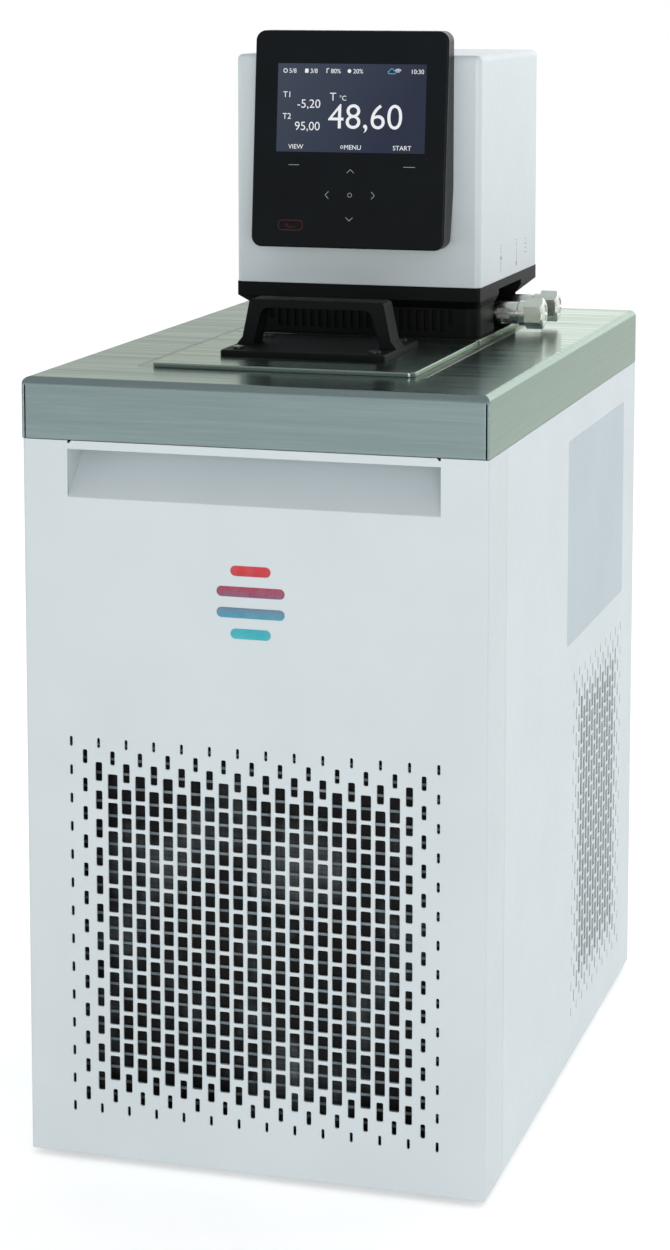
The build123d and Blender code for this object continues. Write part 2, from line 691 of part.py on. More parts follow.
def display_profile(front_offset):
    """Wedge section of the display, cut back from its sloping face by an offset."""
    face = FRONT + HEAD_FRONT
    low = DECK_TOP + DISPLAY_BOTTOM
    high = DECK_TOP + DISPLAY_TOP
    points = [
        (face - DISPLAY_LOW_REACH + front_offset, low),
        (face - DISPLAY_HIGH_REACH + front_offset, high),
        (face, high),
        (face, DECK_TOP + DISPLAY_HEEL_HEIGHT),
        (face - DISPLAY_HEEL, low),
    ]
    return across_profile(points, DISPLAY_WIDTH / 2)


def rounded_display():
    """The whole display unit with rounded corners, before it is parted into case and front."""
    unit = display_profile(0.0)
    corners = []
    for edge in unit.edges():
        direction = edge % 0.5
        middle = edge.center()
        flat = abs(abs(middle.X) - DISPLAY_WIDTH / 2) < 0.01
        at_end = abs(middle.Z - DECK_TOP - DISPLAY_BOTTOM) < 0.01 or abs(middle.Z - DECK_TOP - DISPLAY_TOP) < 0.01
        if flat and at_end and abs(direction.Y) > 0.9:
            corners.append(edge)
    unit = fillet(corners, DISPLAY_RADIUS)
    face = unit.faces().filter_by(lambda f: f.normal_at().Y < -0.9 and f.area > 5000)[0]
    return fillet(face.edges(), DISPLAY_EDGE)


def display_case():
    """Rear shell of the display unit."""
    return rounded_display() & display_profile(GLASS)


def display_front():
    """Front pane with a window for the screen."""
    pane = rounded_display() - display_profile(GLASS)
    return pane - screen_slab(0.0, GLASS + 2)


def screen_slab(gap, depth):
    """The stretch of the sloping pane that the screen takes up."""
    slope = (DISPLAY_LOW_REACH - DISPLAY_HIGH_REACH) / (DISPLAY_TOP - DISPLAY_BOTTOM)
    face = FRONT + HEAD_FRONT - DISPLAY_LOW_REACH
    points = []
    for height, reach in ((SCREEN_BOTTOM + gap, 0), (SCREEN_TOP - gap, 0), (SCREEN_TOP - gap, 1), (SCREEN_BOTTOM + gap, 1)):
        y = face + (height - DISPLAY_BOTTOM) * slope + (depth if reach else (0.2 if gap else -2))
        points.append((y, DECK_TOP + height))
    middle = (SCREEN_LEFT + SCREEN_RIGHT) / 2
    return Pos(middle, 0, 0) * across_profile(points, (SCREEN_RIGHT - SCREEN_LEFT) / 2 - gap)


def display_screen():
    """Flat display panel set into the pane."""
    return screen_slab(0.1, GLASS)


def port_body(place):
    """Turned connection with wrench flats, a groove and a threaded end, bored through."""
    y = FRONT + place
    body = crosswise(PORT_THREAD_RADIUS - 1.3, (PORT_START, PORT_BODY_START), y, PORT_Z)
    body += crosswise(PORT_BODY_RADIUS, (PORT_BODY_START, PORT_BODY_END), y, PORT_Z)
    body += crosswise(PORT_THREAD_RADIUS - 1, (PORT_BODY_END, NUT_START), y, PORT_Z)
    body += crosswise(PORT_THREAD_RADIUS, (NUT_START, PORT_END), y, PORT_Z)
    for side in (-1, 1):
        flat = sorted((y + side * (PORT_BODY_RADIUS - 0.8), y + side * 20))
        body -= block((PORT_BODY_START, PORT_BODY_START + 9), flat, (PORT_Z - 20, PORT_Z + 20))
    return body - crosswise(PORT_BORE, (PORT_START - 1, PORT_END + 1), y, PORT_Z)


def union_nut(place):
    """Hexagon union nut with a round collar, a chamfered face and a bore for the plug's nose."""
    y = FRONT + place
    hexagon = RegularPolygon(NUT_FLATS / 2, 6, major_radius=False, rotation=0)
    section = Plane(origin=(NUT_HEX_START, y, PORT_Z), x_dir=(0, 0, 1), z_dir=(1, 0, 0)) * hexagon
    nut = extrude(section, NUT_END - NUT_HEX_START)
    corner = NUT_FLATS / math.sqrt(3)
    cone = Pos(0, y, PORT_Z) * Rot(0, 90, 0) * Pos(0, 0, NUT_HEX_START) * Cylinder(
        corner, NUT_END - NUT_HEX_START, align=(Align.CENTER, Align.CENTER, Align.MIN)
    )
    cone = chamfer(cone.edges().group_by(Axis.X)[-1], 1.6, 2.4)
    nut = nut & cone
    nut += crosswise(NUT_COLLAR_RADIUS, (NUT_START, NUT_HEX_START), y, PORT_Z)
    nut -= crosswise(PORT_THREAD_RADIUS + RUNNING, (NUT_START - 1, NUT_HEX_END - 0.5), y, PORT_Z)
    return nut - crosswise(NUT_NOSE_RADIUS + RUNNING, (NUT_START, NUT_END + 1), y, PORT_Z)


def blank_plug(place):
    """Sealing plug held against the port by the union nut."""
    y = FRONT + place
    plug = crosswise(PORT_THREAD_RADIUS - 0.4, (PORT_END, NUT_HEX_END - 0.8), y, PORT_Z)
    return plug + crosswise(NUT_NOSE_RADIUS, (NUT_HEX_END - 0.8, NUT_END - 0.4), y, PORT_Z)


def port_pipe(place, low):
    """Tube from the bath up through the bridge plate and over to a port."""
    x = PORT_START - PIPE_BEND
    y = FRONT + place
    points = [(x, y, low), (x, y, PORT_Z), (PORT_START, y, PORT_Z)]
    return bent_tube(points, PIPE_BEND - 2, PIPE_RADIUS, PIPE_RADIUS - 1)


def pump_column():
    """Stand tube that hangs the pump from the bridge plate."""
    low = PUMP_BOTTOM + PUMP_HEIGHT
    column = upright(COLUMN_RADIUS, 0, PUMP_Y, (low, COVER_TOP)) + upright(26, 0, PUMP_Y, (COVER_TOP, COVER_TOP + 3))
    column -= upright(COLUMN_BORE, 0, PUMP_Y, (low - 1, COVER_TOP - 6))
    return column - upright(SHAFT_RADIUS + RUNNING, 0, PUMP_Y, (low, COVER_TOP + 4))


def pump_housing():
    """Round pump chamber with an eye below and an outlet to the feed pipe."""
    low, high = PUMP_BOTTOM, PUMP_BOTTOM + PUMP_HEIGHT
    outlet_x = PORT_START - PIPE_BEND
    outlet_y = FRONT + PORT_PLACES[0]
    housing = upright(PUMP_RADIUS, 0, PUMP_Y, (low, high))
    housing += block((0, outlet_x), (outlet_y - 7, outlet_y + 7), (low + 6, high - 6))
    housing += upright(7, outlet_x, outlet_y, (low + 6, high))
    housing -= upright(PUMP_RADIUS - PUMP_WALL, 0, PUMP_Y, (low + PUMP_WALL, high - PUMP_WALL))
    housing -= upright(10, 0, PUMP_Y, (low - 1, low + 10))
    housing -= upright(COLUMN_BORE, 0, PUMP_Y, (high - 10, high + 1))
    housing -= crosswise(3.5, (20, outlet_x), outlet_y, low + 16)
    return housing - upright(PIPE_RADIUS - 1, outlet_x, outlet_y, (low + 14, high + 1))


def impeller():
    """Disc with six radial vanes."""
    low = PUMP_BOTTOM + PUMP_WALL + COLLAR
    wheel = upright(IMPELLER_RADIUS, 0, PUMP_Y, (low + 14, low + 17)) + upright(7, 0, PUMP_Y, (low, low + 17))
    for index in range(6):
        vane = block((6, IMPELLER_RADIUS), (-1, 1), (low, low + 14))
        wheel += Pos(0, PUMP_Y, 0) * Rot(0, 0, 60 * index) * vane
    return wheel - upright(SHAFT_RADIUS, 0, PUMP_Y, (low - 1, low + 20))


def heater_coil():
    """U-shaped tubular heater behind the pump, held by collars on the bridge plate."""
    low = TANK_FLOOR + 14
    left, right = HEATER_ENDS
    top = COVER_TOP + 2 * COLLAR
    points = [(left, HEATER_Y, top), (left, HEATER_Y, low), (right, HEATER_Y, low), (right, HEATER_Y, top)]
    heater = bent_tube(points, HEATER_BEND, HEATER_RADIUS)
    for x in HEATER_ENDS:
        heater += upright(HEATER_RADIUS + 2, x, HEATER_Y, (COVER_TOP, COVER_TOP + COLLAR))
    return heater


def temperature_probe():
    """Closed probe tube with a collar on the bridge plate."""
    probe = upright(PROBE_RADIUS, PROBE_PLACE[0], FRONT + PROBE_PLACE[1], (TANK_FLOOR + 25, COVER_TOP + 10))
    return probe + upright(6, PROBE_PLACE[0], FRONT + PROBE_PLACE[1], (COVER_TOP, COVER_TOP + 4))


def float_stem():
    """Stem of the level switch with a collar above and a stop below."""
    low = TANK_FLOOR + STEM_LOW
    stem = upright(STEM_RADIUS, FLOAT_PLACE[0], FRONT + FLOAT_PLACE[1], (low, COVER_TOP + 8))
    stem += upright(8, FLOAT_PLACE[0], FRONT + FLOAT_PLACE[1], (COVER_TOP, COVER_TOP + 4))
    return stem + upright(STEM_RADIUS + 3, FLOAT_PLACE[0], FRONT + FLOAT_PLACE[1], (low, low + COLLAR))


def level_float():
    """Hollow float that rides up the stem."""
    low = TANK_FLOOR + STEM_LOW + COLLAR + BODY_GAP
    body = upright(FLOAT_RADIUS, FLOAT_PLACE[0], FRONT + FLOAT_PLACE[1], (low, low + FLOAT_HEIGHT))
    body = chamfer(body.edges(), 3)
    return body - upright(STEM_RADIUS + 0.5, FLOAT_PLACE[0], FRONT + FLOAT_PLACE[1], (low - 1, low + FLOAT_HEIGHT + 1))


def pump_motor():
    """Motor can on a square flange with four posts over the head tray."""
    base = TRAY_Z + TRAY_SHEET
    low = base + MOTOR_LIFT
    can = upright(MOTOR_RADIUS, 0, PUMP_Y, (low, low + MOTOR_HEIGHT))
    can = chamfer(can.edges().group_by(Axis.Z)[-1], MOTOR_BEVEL)
    half = MOTOR_FLANGE
    can += block((-half, half), (PUMP_Y - half, PUMP_Y + half), (low - MOTOR_FLANGE_SHEET, low))
    place = half - 2 * MOTOR_POST
    for x in (-place, place):
        for y in (PUMP_Y - place, PUMP_Y + place):
            can += upright(MOTOR_POST, x, y, (base, low - MOTOR_FLANGE_SHEET))
    return can - upright(SHAFT_RADIUS + RUNNING, 0, PUMP_Y, (base, low + 0.62 * MOTOR_HEIGHT))


def pump_shaft():
    """Shaft from the motor down to the impeller."""
    top = TRAY_Z + TRAY_SHEET + MOTOR_LIFT + 0.6 * MOTOR_HEIGHT
    return upright(SHAFT_RADIUS, 0, PUMP_Y, (PUMP_BOTTOM + PUMP_WALL + COLLAR, top))


def control_board():
    """Circuit board standing beside the motor, with its larger components."""
    base = TRAY_Z + TRAY_SHEET
    front, rear = FRONT + BOARD_PLACE[0], FRONT + BOARD_PLACE[1]
    face = BOARD_X + BOARD_SHEET
    length = rear - front
    board = block((BOARD_X, face), (front, rear), (base, base + BOARD_HEIGHT))
    relay_z = (base + 0.62 * BOARD_HEIGHT, base + 0.8 * BOARD_HEIGHT)
    board += block((face, face + 9 * BOARD_SHEET), (front + 0.15 * length, front + 0.4 * length), relay_z)
    supply_z = (base + 0.18 * BOARD_HEIGHT, base + 0.45 * BOARD_HEIGHT)
    return board + block((face, face + 14 * BOARD_SHEET), (front + 0.55 * length, front + 0.85 * length), supply_z)


def condenser_core():
    """Level flat tubes, one above the other, brazed between two upright collecting boxes."""
    y = (CONDENSER_Y - CONDENSER_DEPTH / 2, CONDENSER_Y + CONDENSER_DEPTH / 2)
    z = (PAN_FLOOR, CONDENSER_TOP + COLLAR)
    core = block((-HEADER_PLACE - HEADER_HALF, -HEADER_PLACE + HEADER_HALF), y, z)
    core += block((HEADER_PLACE - HEADER_HALF, HEADER_PLACE + HEADER_HALF), y, z)
    tubes = []
    for row in range(GRILLE_ROWS + 1):
        z = FLOOR + GRILLE_BOTTOM + (row - 0.5) * SLOT_PITCH
        tubes.append(block((-HEADER_PLACE, HEADER_PLACE), y, (z - FLAT_TUBE / 2, z + FLAT_TUBE / 2)))
    return core + tubes


def condenser_fins():
    """Fin bands between the flat tubes."""
    y = (CONDENSER_Y - CONDENSER_DEPTH / 2 + 1, CONDENSER_Y + CONDENSER_DEPTH / 2 - 1)
    reach = HEADER_PLACE - HEADER_HALF
    bands = []
    for row in range(GRILLE_ROWS):
        z = FLOOR + GRILLE_BOTTOM + row * SLOT_PITCH
        half = (SLOT_PITCH - FLAT_TUBE) / 2
        bands.append(block((-reach, reach), y, (z - half, z + half)))
    return Compound(bands)


def fan_shroud():
    """Sheet behind the condenser with a round collar for the fan."""
    sheet = block((-SHROUD_HALF, SHROUD_HALF), (SHROUD_Y, SHROUD_Y + SHEET), (PAN_FLOOR, CONDENSER_TOP + COLLAR))
    ring = FAN_RADIUS + FAN_TIP_GAP
    sheet += lengthwise(ring + SHEET, 0, (SHROUD_Y, SHROUD_Y + SHROUD_RING), FAN_Z)
    return sheet - lengthwise(ring, 0, (SHROUD_Y - 1, SHROUD_Y + SHROUD_RING + 1), FAN_Z)


def fan_bracket():
    """Bent strip across the shroud that carries the fan motor."""
    reach = FAN_RADIUS + FAN_TIP_GAP + 5 * BRACKET_SHEET
    y = (SHROUD_Y + SHEET, SHROUD_Y + BRACKET_DEPTH)
    z = (FAN_Z - BRACKET_HALF, FAN_Z + BRACKET_HALF)
    inner = reach - BRACKET_SHEET
    strip = block((-reach, reach), y, z) - block((-inner, inner), (y[0] - 1, y[1] - BRACKET_SHEET), (z[0] - 1, z[1] + 1))
    return strip - lengthwise(2 * SHAFT_RADIUS, 0, (y[1] - 5, y[1] + 5), FAN_Z)


def fan_motor():
    """Short round motor behind the bracket."""
    start = SHROUD_Y + BRACKET_DEPTH
    motor = lengthwise(FAN_MOTOR_RADIUS, 0, (start, start + FAN_MOTOR_LENGTH), FAN_Z)
    motor = chamfer(motor.edges().group_by(Axis.Y)[-1], FAN_MOTOR_BEVEL)
    return motor - lengthwise(SHAFT_RADIUS + RUNNING, 0, (start - 1, start + FAN_MOTOR_LENGTH / 2), FAN_Z)


def fan_shaft():
    """Shaft between the fan motor and the hub."""
    start = SHROUD_Y + SHROUD_RING / 2 - FAN_DEPTH / 2 + 2
    return lengthwise(SHAFT_RADIUS, 0, (start, SHROUD_Y + BRACKET_DEPTH + FAN_MOTOR_LENGTH / 3), FAN_Z)


def fan_wheel():
    """Hub with pitched blades, pressed on its shaft."""
    middle = SHROUD_Y + SHROUD_RING / 2 + BLADE_SHEET
    wheel = lengthwise(FAN_HUB, 0, (middle - FAN_DEPTH / 2, middle + FAN_DEPTH / 2), FAN_Z)
    root = FAN_HUB - 3
    for index in range(FAN_BLADES):
        blade = Pos((root + FAN_RADIUS) / 2, 0, 0) * Rot(90 - FAN_PITCH, 0, 0) * Box(
            FAN_RADIUS - root, BLADE_WIDTH, BLADE_SHEET
        )
        wheel += Pos(0, middle, FAN_Z) * Rot(0, 360 / FAN_BLADES * index, 0) * Rot(180, 0, 0) * blade
    wheel = wheel & lengthwise(FAN_RADIUS, 0, (middle - FAN_DEPTH, middle + FAN_DEPTH), FAN_Z)
    return wheel - lengthwise(SHAFT_RADIUS, 0, (middle - FAN_DEPTH, middle + FAN_DEPTH), FAN_Z)


def compressor():
    """Hermetic shell in two drawn halves on a foot plate, with a terminal cover and a suction stub."""
    x, y = COMPRESSOR_X, FRONT + COMPRESSOR_Y
    base = PAN_FLOOR + GROMMET
    shell = upright(COMPRESSOR_RADIUS, x, y, (base + PLATE_SHEET / 2, base + COMPRESSOR_HEIGHT))
    shell = chamfer(shell.edges().group_by(Axis.Z)[-1], COMPRESSOR_BEVEL)
    seam = base + COMPRESSOR_SEAM
    shell += upright(COMPRESSOR_RADIUS + COMPRESSOR_RIM, x, y, (seam, seam + COMPRESSOR_RIM))
    plate_x, plate_y = PLATE_HALF
    shell += rounded_block((x - plate_x, x + plate_x), (y - plate_y, y + plate_y), (base, base + PLATE_SHEET), PLATE_RADIUS)
    half, reach = TERMINAL
    front = y - COMPRESSOR_RADIUS - reach
    shell += block((x - half, x + half), (front, y), (base + TERMINAL_LOW, base + TERMINAL_HIGH))
    return shell + crosswise(STUB_RADIUS, (STUB_X, x), y + SUCTION_OFFSET, base + SUCTION_HEIGHT)


def compressor_mounts():
    """Rubber grommets under the corners of the foot plate."""
    x, y = COMPRESSOR_X, FRONT + COMPRESSOR_Y
    dx, dy = PLATE_HALF[0] - GROMMET_INSET, PLATE_HALF[1] - GROMMET_INSET
    mounts = []
    for side in (-1, 1):
        for end in (-1, 1):
            mounts.append(upright(GROMMET_RADIUS, x + side * dx, y + end * dy, (PAN_FLOOR, PAN_FLOOR + GROMMET)))
    return Compound(mounts)


def filter_drier():
    """Spun copper capsule with its line from the foot of the condenser."""
    y = FRONT + DRIER_PLACE
    capsule = lengthwise(DRIER_RADIUS, -HEADER_PLACE, (y, y + DRIER_LENGTH), DRIER_Z)
    capsule = chamfer(capsule.edges(), 10, 6)
    return capsule + lengthwise(LINE_RADIUS, -HEADER_PLACE, (SHROUD_Y, y + 1), DRIER_Z)


def discharge_line():
    """Copper line from the compressor to the head of the condenser."""
    x, y = COMPRESSOR_X, FRONT + COMPRESSOR_Y
    start = PAN_FLOOR + GROMMET + COMPRESSOR_HEIGHT
    end = CONDENSER_TOP + COLLAR
    top = end + LINE_BEND + 4
    points = [(x, y, start), (x, y, top), (HEADER_PLACE, CONDENSER_Y, top), (HEADER_PLACE, CONDENSER_Y, end)]
    return bent_tube(points, LINE_BEND, LINE_RADIUS)


def suction_line():
    """Copper line from under the bath back to the compressor."""
    y = FRONT + COMPRESSOR_Y + SUCTION_OFFSET
    start = PAN_FLOOR + GROMMET + SUCTION_HEIGHT
    points = [(STUB_X, y, start), (SUCTION_X, y, start), (SUCTION_X, y, TANK_FLOOR - FOAM)]
    return bent_tube(points, LINE_BEND, LINE_RADIUS)


def control_box():
    """Closed box for the power electronics on the left wall."""
    left = -SIDE + SHEET + SEAM + DECK_SHEET
    return block((left, left + BOX_WIDTH), (FRONT + BOX_PLACE, REAR - BOX_REAR), (PAN_FLOOR, PAN_FLOOR + BOX_HEIGHT))


def mains_inlet():
    """Appliance inlet with a recessed face and three blades."""
    z = FLOOR + INLET_HEIGHT
    body = block((INLET_X - 13.5, INLET_X + 13.5), (REAR - 24, REAR), (z - 10, z + 10))
    body += block((INLET_X - 24, INLET_X + 24), (REAR, REAR + 2.5), (z - 14, z + 14))
    body -= block((INLET_X - 11.5, INLET_X + 11.5), (REAR - 16, REAR + 3), (z - 8, z + 8))
    for dx, dz in ((-7, -2), (0, 2), (7, -2)):
        body += block((INLET_X + dx - 1, INLET_X + dx + 1), (REAR - 17, REAR - 2), (z + dz - 2, z + dz + 2))
    return body


def switch_frame():
    """Frame of the mains switch, snapped into the rear panel."""
    z = FLOOR + INLET_HEIGHT
    body = block((SWITCH_X - 9.5, SWITCH_X + 9.5), (REAR - 22, REAR), (z - 13.5, z + 13.5))
    body += block((SWITCH_X - 11.5, SWITCH_X + 11.5), (REAR, REAR + 2), (z - 15.5, z + 15.5))
    return body - block((SWITCH_X - 7.5, SWITCH_X + 7.5), (REAR - 12, REAR + 3), (z - 11.5, z + 11.5))


def switch_rocker():
    """Rocker of the mains switch, resting on its off side."""
    z = FLOOR + INLET_HEIGHT
    points = [(-5, -ROCKER_HALF), (3.5, -ROCKER_HALF), (2.2, 0), (3.5, ROCKER_HALF), (-5, ROCKER_HALF), (-8, 0)]
    rocker = across_profile(points, 7.0)
    return Pos(SWITCH_X, REAR - 1, z) * Rot(ROCKER_TILT, 0, 0) * rocker


def drain_pipe():
    """Tube from the basin floor down and back to the tap."""
    z = FLOOR + TAP_HEIGHT
    points = [(TAP_X, DRAIN_Y, TANK_FLOOR - TANK_SHEET), (TAP_X, DRAIN_Y, z), (TAP_X, REAR - 26, z)]
    return bent_tube(points, DRAIN_BEND, PIPE_RADIUS + 1, TAP_BORE)


def drain_tap():
    """Tap body through the rear panel, with its outlet nozzle."""
    z = FLOOR + TAP_HEIGHT
    tap = lengthwise(TAP_RADIUS, TAP_X, (REAR - 26, REAR + 2), z)
    tap += block((TAP_X - 8, TAP_X + 8), (REAR, REAR + 14), (z - 8, z + 8))
    tap += lengthwise(5, TAP_X, (REAR + 14, REAR + TAP_REACH), z)
    tap += upright(4, TAP_X, REAR + 8, (z + 8, z + 10))
    tap += upright(2.5, TAP_X, REAR + 8, (z + 10, z + 15))
    return tap - lengthwise(TAP_BORE, TAP_X, (REAR - 27, REAR + TAP_REACH + 1), z)


def tap_lever():
    """Quarter-turn lever on the tap's spindle."""
    z = FLOOR + TAP_HEIGHT + 10 + BODY_GAP
    lever = upright(5, TAP_X, REAR + 8, (z, z + 4))
    lever += block((TAP_X, TAP_X + LEVER_LENGTH), (REAR + 5, REAR + 11), (z, z + 4))
    return lever - upright(2.5 + RUNNING, TAP_X, REAR + 8, (z - 1, z + 6))


def write(name, part):
    """Writes one piece under its own name."""
    part.label = name
    export_step(part, f"parts/{name}.step")


def main():
    os.makedirs("parts", exist_ok=True)
    write("base_pan", base_pan())
    foot_x, foot_y = SIDE - FOOT_INSET_X, FOOT_INSET_Y
    for name, x, y in (
        ("foot_front_left", -foot_x, FRONT + foot_y),
        ("foot_front_right", foot_x, FRONT + foot_y),
        ("foot_rear_left", -foot_x, REAR - foot_y),
        ("foot_rear_right", foot_x, REAR - foot_y),
    ):
        write(name, foot(x, y))
    write("front_panel", front_panel())
    write("side_panel_right", side_panel(1, slot_centres(SIDE_COLUMNS, SIDE_SKIPPED_RINGS)))
    write("side_panel_left", side_panel(-1, []))
    write("rear_panel", rear_panel())
    write("deck", deck())
    write("bath_tank", bath_tank())
    write("tank_insulation", tank_insulation())
    write("evaporator_coil", evaporator_coil())
    write("lid_plate", lid_plate())
    write("lid_handle", lid_handle())
    write("handle_screws", handle_screws())
    write("bridge_plate", bridge_plate())
    write("bridge_body", bridge_body())
    write("head_tray", head_tray())
    write("head_housing", head_housing())
    write("display_case", display_case())
    write("display_front", display_front())
    write("display_screen", display_screen())
    for name, place, low in (
        ("feed", PORT_PLACES[0], PUMP_BOTTOM + PUMP_HEIGHT),
        ("return", PORT_PLACES[1], TANK_FLOOR + 60),
    ):
        write(f"{name}_port", port_body(place))
        write(f"{name}_nut", union_nut(place))
        write(f"{name}_plug", blank_plug(place))
        write(f"{name}_pipe", port_pipe(place, low))
    write("pump_column", pump_column())
    write("pump_housing", pump_housing())
    write("impeller", impeller())
    write("pump_shaft", pump_shaft())
    write("pump_motor", pump_motor())
    write("heater_coil", heater_coil())
    write("temperature_probe", temperature_probe())
    write("float_stem", float_stem())
    write("level_float", level_float())
    write("control_board", control_board())
    write("condenser_core", condenser_core())
    write("condenser_fins", condenser_fins())
    write("fan_shroud", fan_shroud())
    write("fan_bracket", fan_bracket())
    write("fan_motor", fan_motor())
    write("fan_shaft", fan_shaft())
    write("fan_wheel", fan_wheel())
    write("compressor", compressor())
    write("compressor_mounts", compressor_mounts())
    write("filter_drier", filter_drier())
    write("discharge_line", discharge_line())
    write("suction_line", suction_line())
    write("control_box", control_box())
    write("mains_inlet", mains_inlet())
    write("switch_frame", switch_frame())
    write("switch_rocker", switch_rocker())
    write("drain_pipe", drain_pipe())
    write("drain_tap", drain_tap())
    write("tap_lever", tap_lever())


main()
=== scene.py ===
# %% [markdown]
# # Refrigerated circulator: looks
# The object is a sheet-metal cooling bath: a white painted tower with a punched grille, a brushed
# steel deck with a lid, and a head with a sloping display.
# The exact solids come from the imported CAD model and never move. This script only dresses them:
# it gives each one a finish, and it cuts fine sheets and prints that are too small for the solids.

# %% Load the frame
import bpy
import bmesh
import math
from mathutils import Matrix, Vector
from mathutils.geometry import delaunay_2d_cdt


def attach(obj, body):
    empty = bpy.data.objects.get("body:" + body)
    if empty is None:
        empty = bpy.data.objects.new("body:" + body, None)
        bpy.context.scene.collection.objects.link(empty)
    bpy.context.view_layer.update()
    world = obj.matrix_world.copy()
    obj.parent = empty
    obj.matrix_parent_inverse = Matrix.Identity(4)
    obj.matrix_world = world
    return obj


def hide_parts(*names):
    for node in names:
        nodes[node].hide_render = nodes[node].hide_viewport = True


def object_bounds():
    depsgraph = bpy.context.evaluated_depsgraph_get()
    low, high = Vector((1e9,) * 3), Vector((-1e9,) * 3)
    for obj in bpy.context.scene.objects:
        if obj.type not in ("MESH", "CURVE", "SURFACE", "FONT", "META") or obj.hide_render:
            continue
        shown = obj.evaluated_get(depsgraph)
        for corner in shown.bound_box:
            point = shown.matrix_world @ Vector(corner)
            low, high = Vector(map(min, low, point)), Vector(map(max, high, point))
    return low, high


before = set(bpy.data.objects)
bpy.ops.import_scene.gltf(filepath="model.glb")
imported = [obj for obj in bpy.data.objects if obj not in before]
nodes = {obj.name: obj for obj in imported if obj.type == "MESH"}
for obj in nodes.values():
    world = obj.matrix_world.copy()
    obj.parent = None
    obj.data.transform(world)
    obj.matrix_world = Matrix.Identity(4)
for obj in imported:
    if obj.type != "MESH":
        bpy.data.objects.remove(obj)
cad_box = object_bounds()
MM = 0.001
HALF_WIDTH = 150.0
HALF_DEPTH = 242.5
DECK_TOP = 505.5
print("solids:", len(nodes), "box:", [round(v, 4) for corner in cad_box for v in corner])

# %% [markdown]
# ## The camera
# The photograph was taken with a long lens from the right of the front, a little above the deck.
# A camera can be placed by eye, but here its place was worked out from the corners of the housing,
# so that the picture has the same vanishing lines. The view is shifted down, as with a view camera,
# which keeps the upright edges of the tower nearly parallel.

# %% Place the camera
EYE = Vector((549.5, -1910.5, 756.1)) * MM
YAW = 0.2888
PITCH = -0.1251
LENS = 83.87
DOWNWARD_SHIFT = -0.23


def aim(thing, way):
    """Turns a camera or a lamp so that it looks along a direction."""
    thing.rotation_mode = "QUATERNION"
    thing.rotation_quaternion = way.to_track_quat("-Z", "Y")


camera_data = bpy.data.cameras.new("camera")
camera_data.lens = LENS
camera_data.sensor_width = 36.0
camera_data.shift_y = DOWNWARD_SHIFT
camera = bpy.data.objects.new("camera", camera_data)
bpy.context.scene.collection.objects.link(camera)
look = Vector((-math.sin(YAW) * math.cos(PITCH), math.cos(YAW) * math.cos(PITCH), math.sin(PITCH)))
camera.location = EYE
aim(camera, look)
bpy.context.scene.camera = camera
print("camera looks along", [round(v, 3) for v in look])

# %% [markdown]
# ## Small tools for finishes
# A finish is a node tree. The same few steps come back in each: a noise that is stretched along the
# grain, a range that turns the noise into roughness or brightness, and a bump that lifts the surface
# by a few hundredths of a millimetre. Each is a short function, so that a finish reads like a recipe.
# All noises count in metres on the object itself, so a grain has its real size and moves with its part.

# %% Helpers for node trees
def tone(text):
    """A colour written as on a paint card, such as d0d9dc, as linear red, green, blue."""
    parts = [int(text[i:i + 2], 16) / 255 for i in (0, 2, 4)]
    return tuple(p / 12.92 if p <= 0.04045 else ((p + 0.055) / 1.055) ** 2.4 for p in parts)


def start_finish(name):
    """A new material with its node tree and its main shader."""
    material = bpy.data.materials.new(name)
    material.use_nodes = True
    tree = material.node_tree
    return material, tree, tree.nodes["Principled BSDF"]


def plug(tree, value, socket):
    """Joins an output to a socket, or writes a plain value into it."""
    if isinstance(value, bpy.types.NodeSocket):
        tree.links.new(value, socket)
    else:
        socket.default_value = value


def number(tree, step, a, b=0.0, c=0.0):
    """One sum with numbers; a, b and c may be outputs of other nodes."""
    node = tree.nodes.new("ShaderNodeMath")
    node.operation = step
    for value, socket in zip((a, b, c), node.inputs):
        plug(tree, value, socket)
    return node.outputs[0]


def place_on_part(tree):
    """Metres on the part itself."""
    return tree.nodes.new("ShaderNodeTexCoord").outputs["Object"]


def axes_of(tree, vector):
    """The three numbers of a vector."""
    node = tree.nodes.new("ShaderNodeSeparateXYZ")
    tree.links.new(vector, node.inputs[0])
    return node.outputs


def join_vector(tree, x, y, z):
    """Three numbers as one vector."""
    node = tree.nodes.new("ShaderNodeCombineXYZ")
    for value, socket in zip((x, y, z), node.inputs):
        plug(tree, value, socket)
    return node.outputs[0]


def grain(tree, scale, detail=2.0, stretch=(1, 1, 1), where=None):
    """Noise with about `scale` spots to the metre, drawn out where stretch is small."""
    mapping = tree.nodes.new("ShaderNodeMapping")
    mapping.inputs["Scale"].default_value = stretch
    tree.links.new(where or place_on_part(tree), mapping.inputs["Vector"])
    noise = tree.nodes.new("ShaderNodeTexNoise")
    noise.inputs["Scale"].default_value = scale
    noise.inputs["Detail"].default_value = detail
    tree.links.new(mapping.outputs[0], noise.inputs["Vector"])
    return noise.outputs["Fac"]


def spread(tree, source, low, high, start=0.3, end=0.7):
    """Turns a noise into a range of values."""
    node = tree.nodes.new("ShaderNodeMapRange")
    tree.links.new(source, node.inputs["Value"])
    for name, value in (("From Min", start), ("From Max", end), ("To Min", low), ("To Max", high)):
        node.inputs[name].default_value = value
    return node.outputs[0]


def blend_colours(tree, share, first, second):
    """Two colours, mixed by a share from 0 to 1."""
    node = tree.nodes.new("ShaderNodeMix")
    node.data_type = "RGBA"
    plug(tree, share, node.inputs[0])
    for value, socket in ((first, node.inputs[6]), (second, node.inputs[7])):
        if not isinstance(value, bpy.types.NodeSocket):
            value = (*value[:3], 1.0)
        plug(tree, value, socket)
    return node.outputs[2]


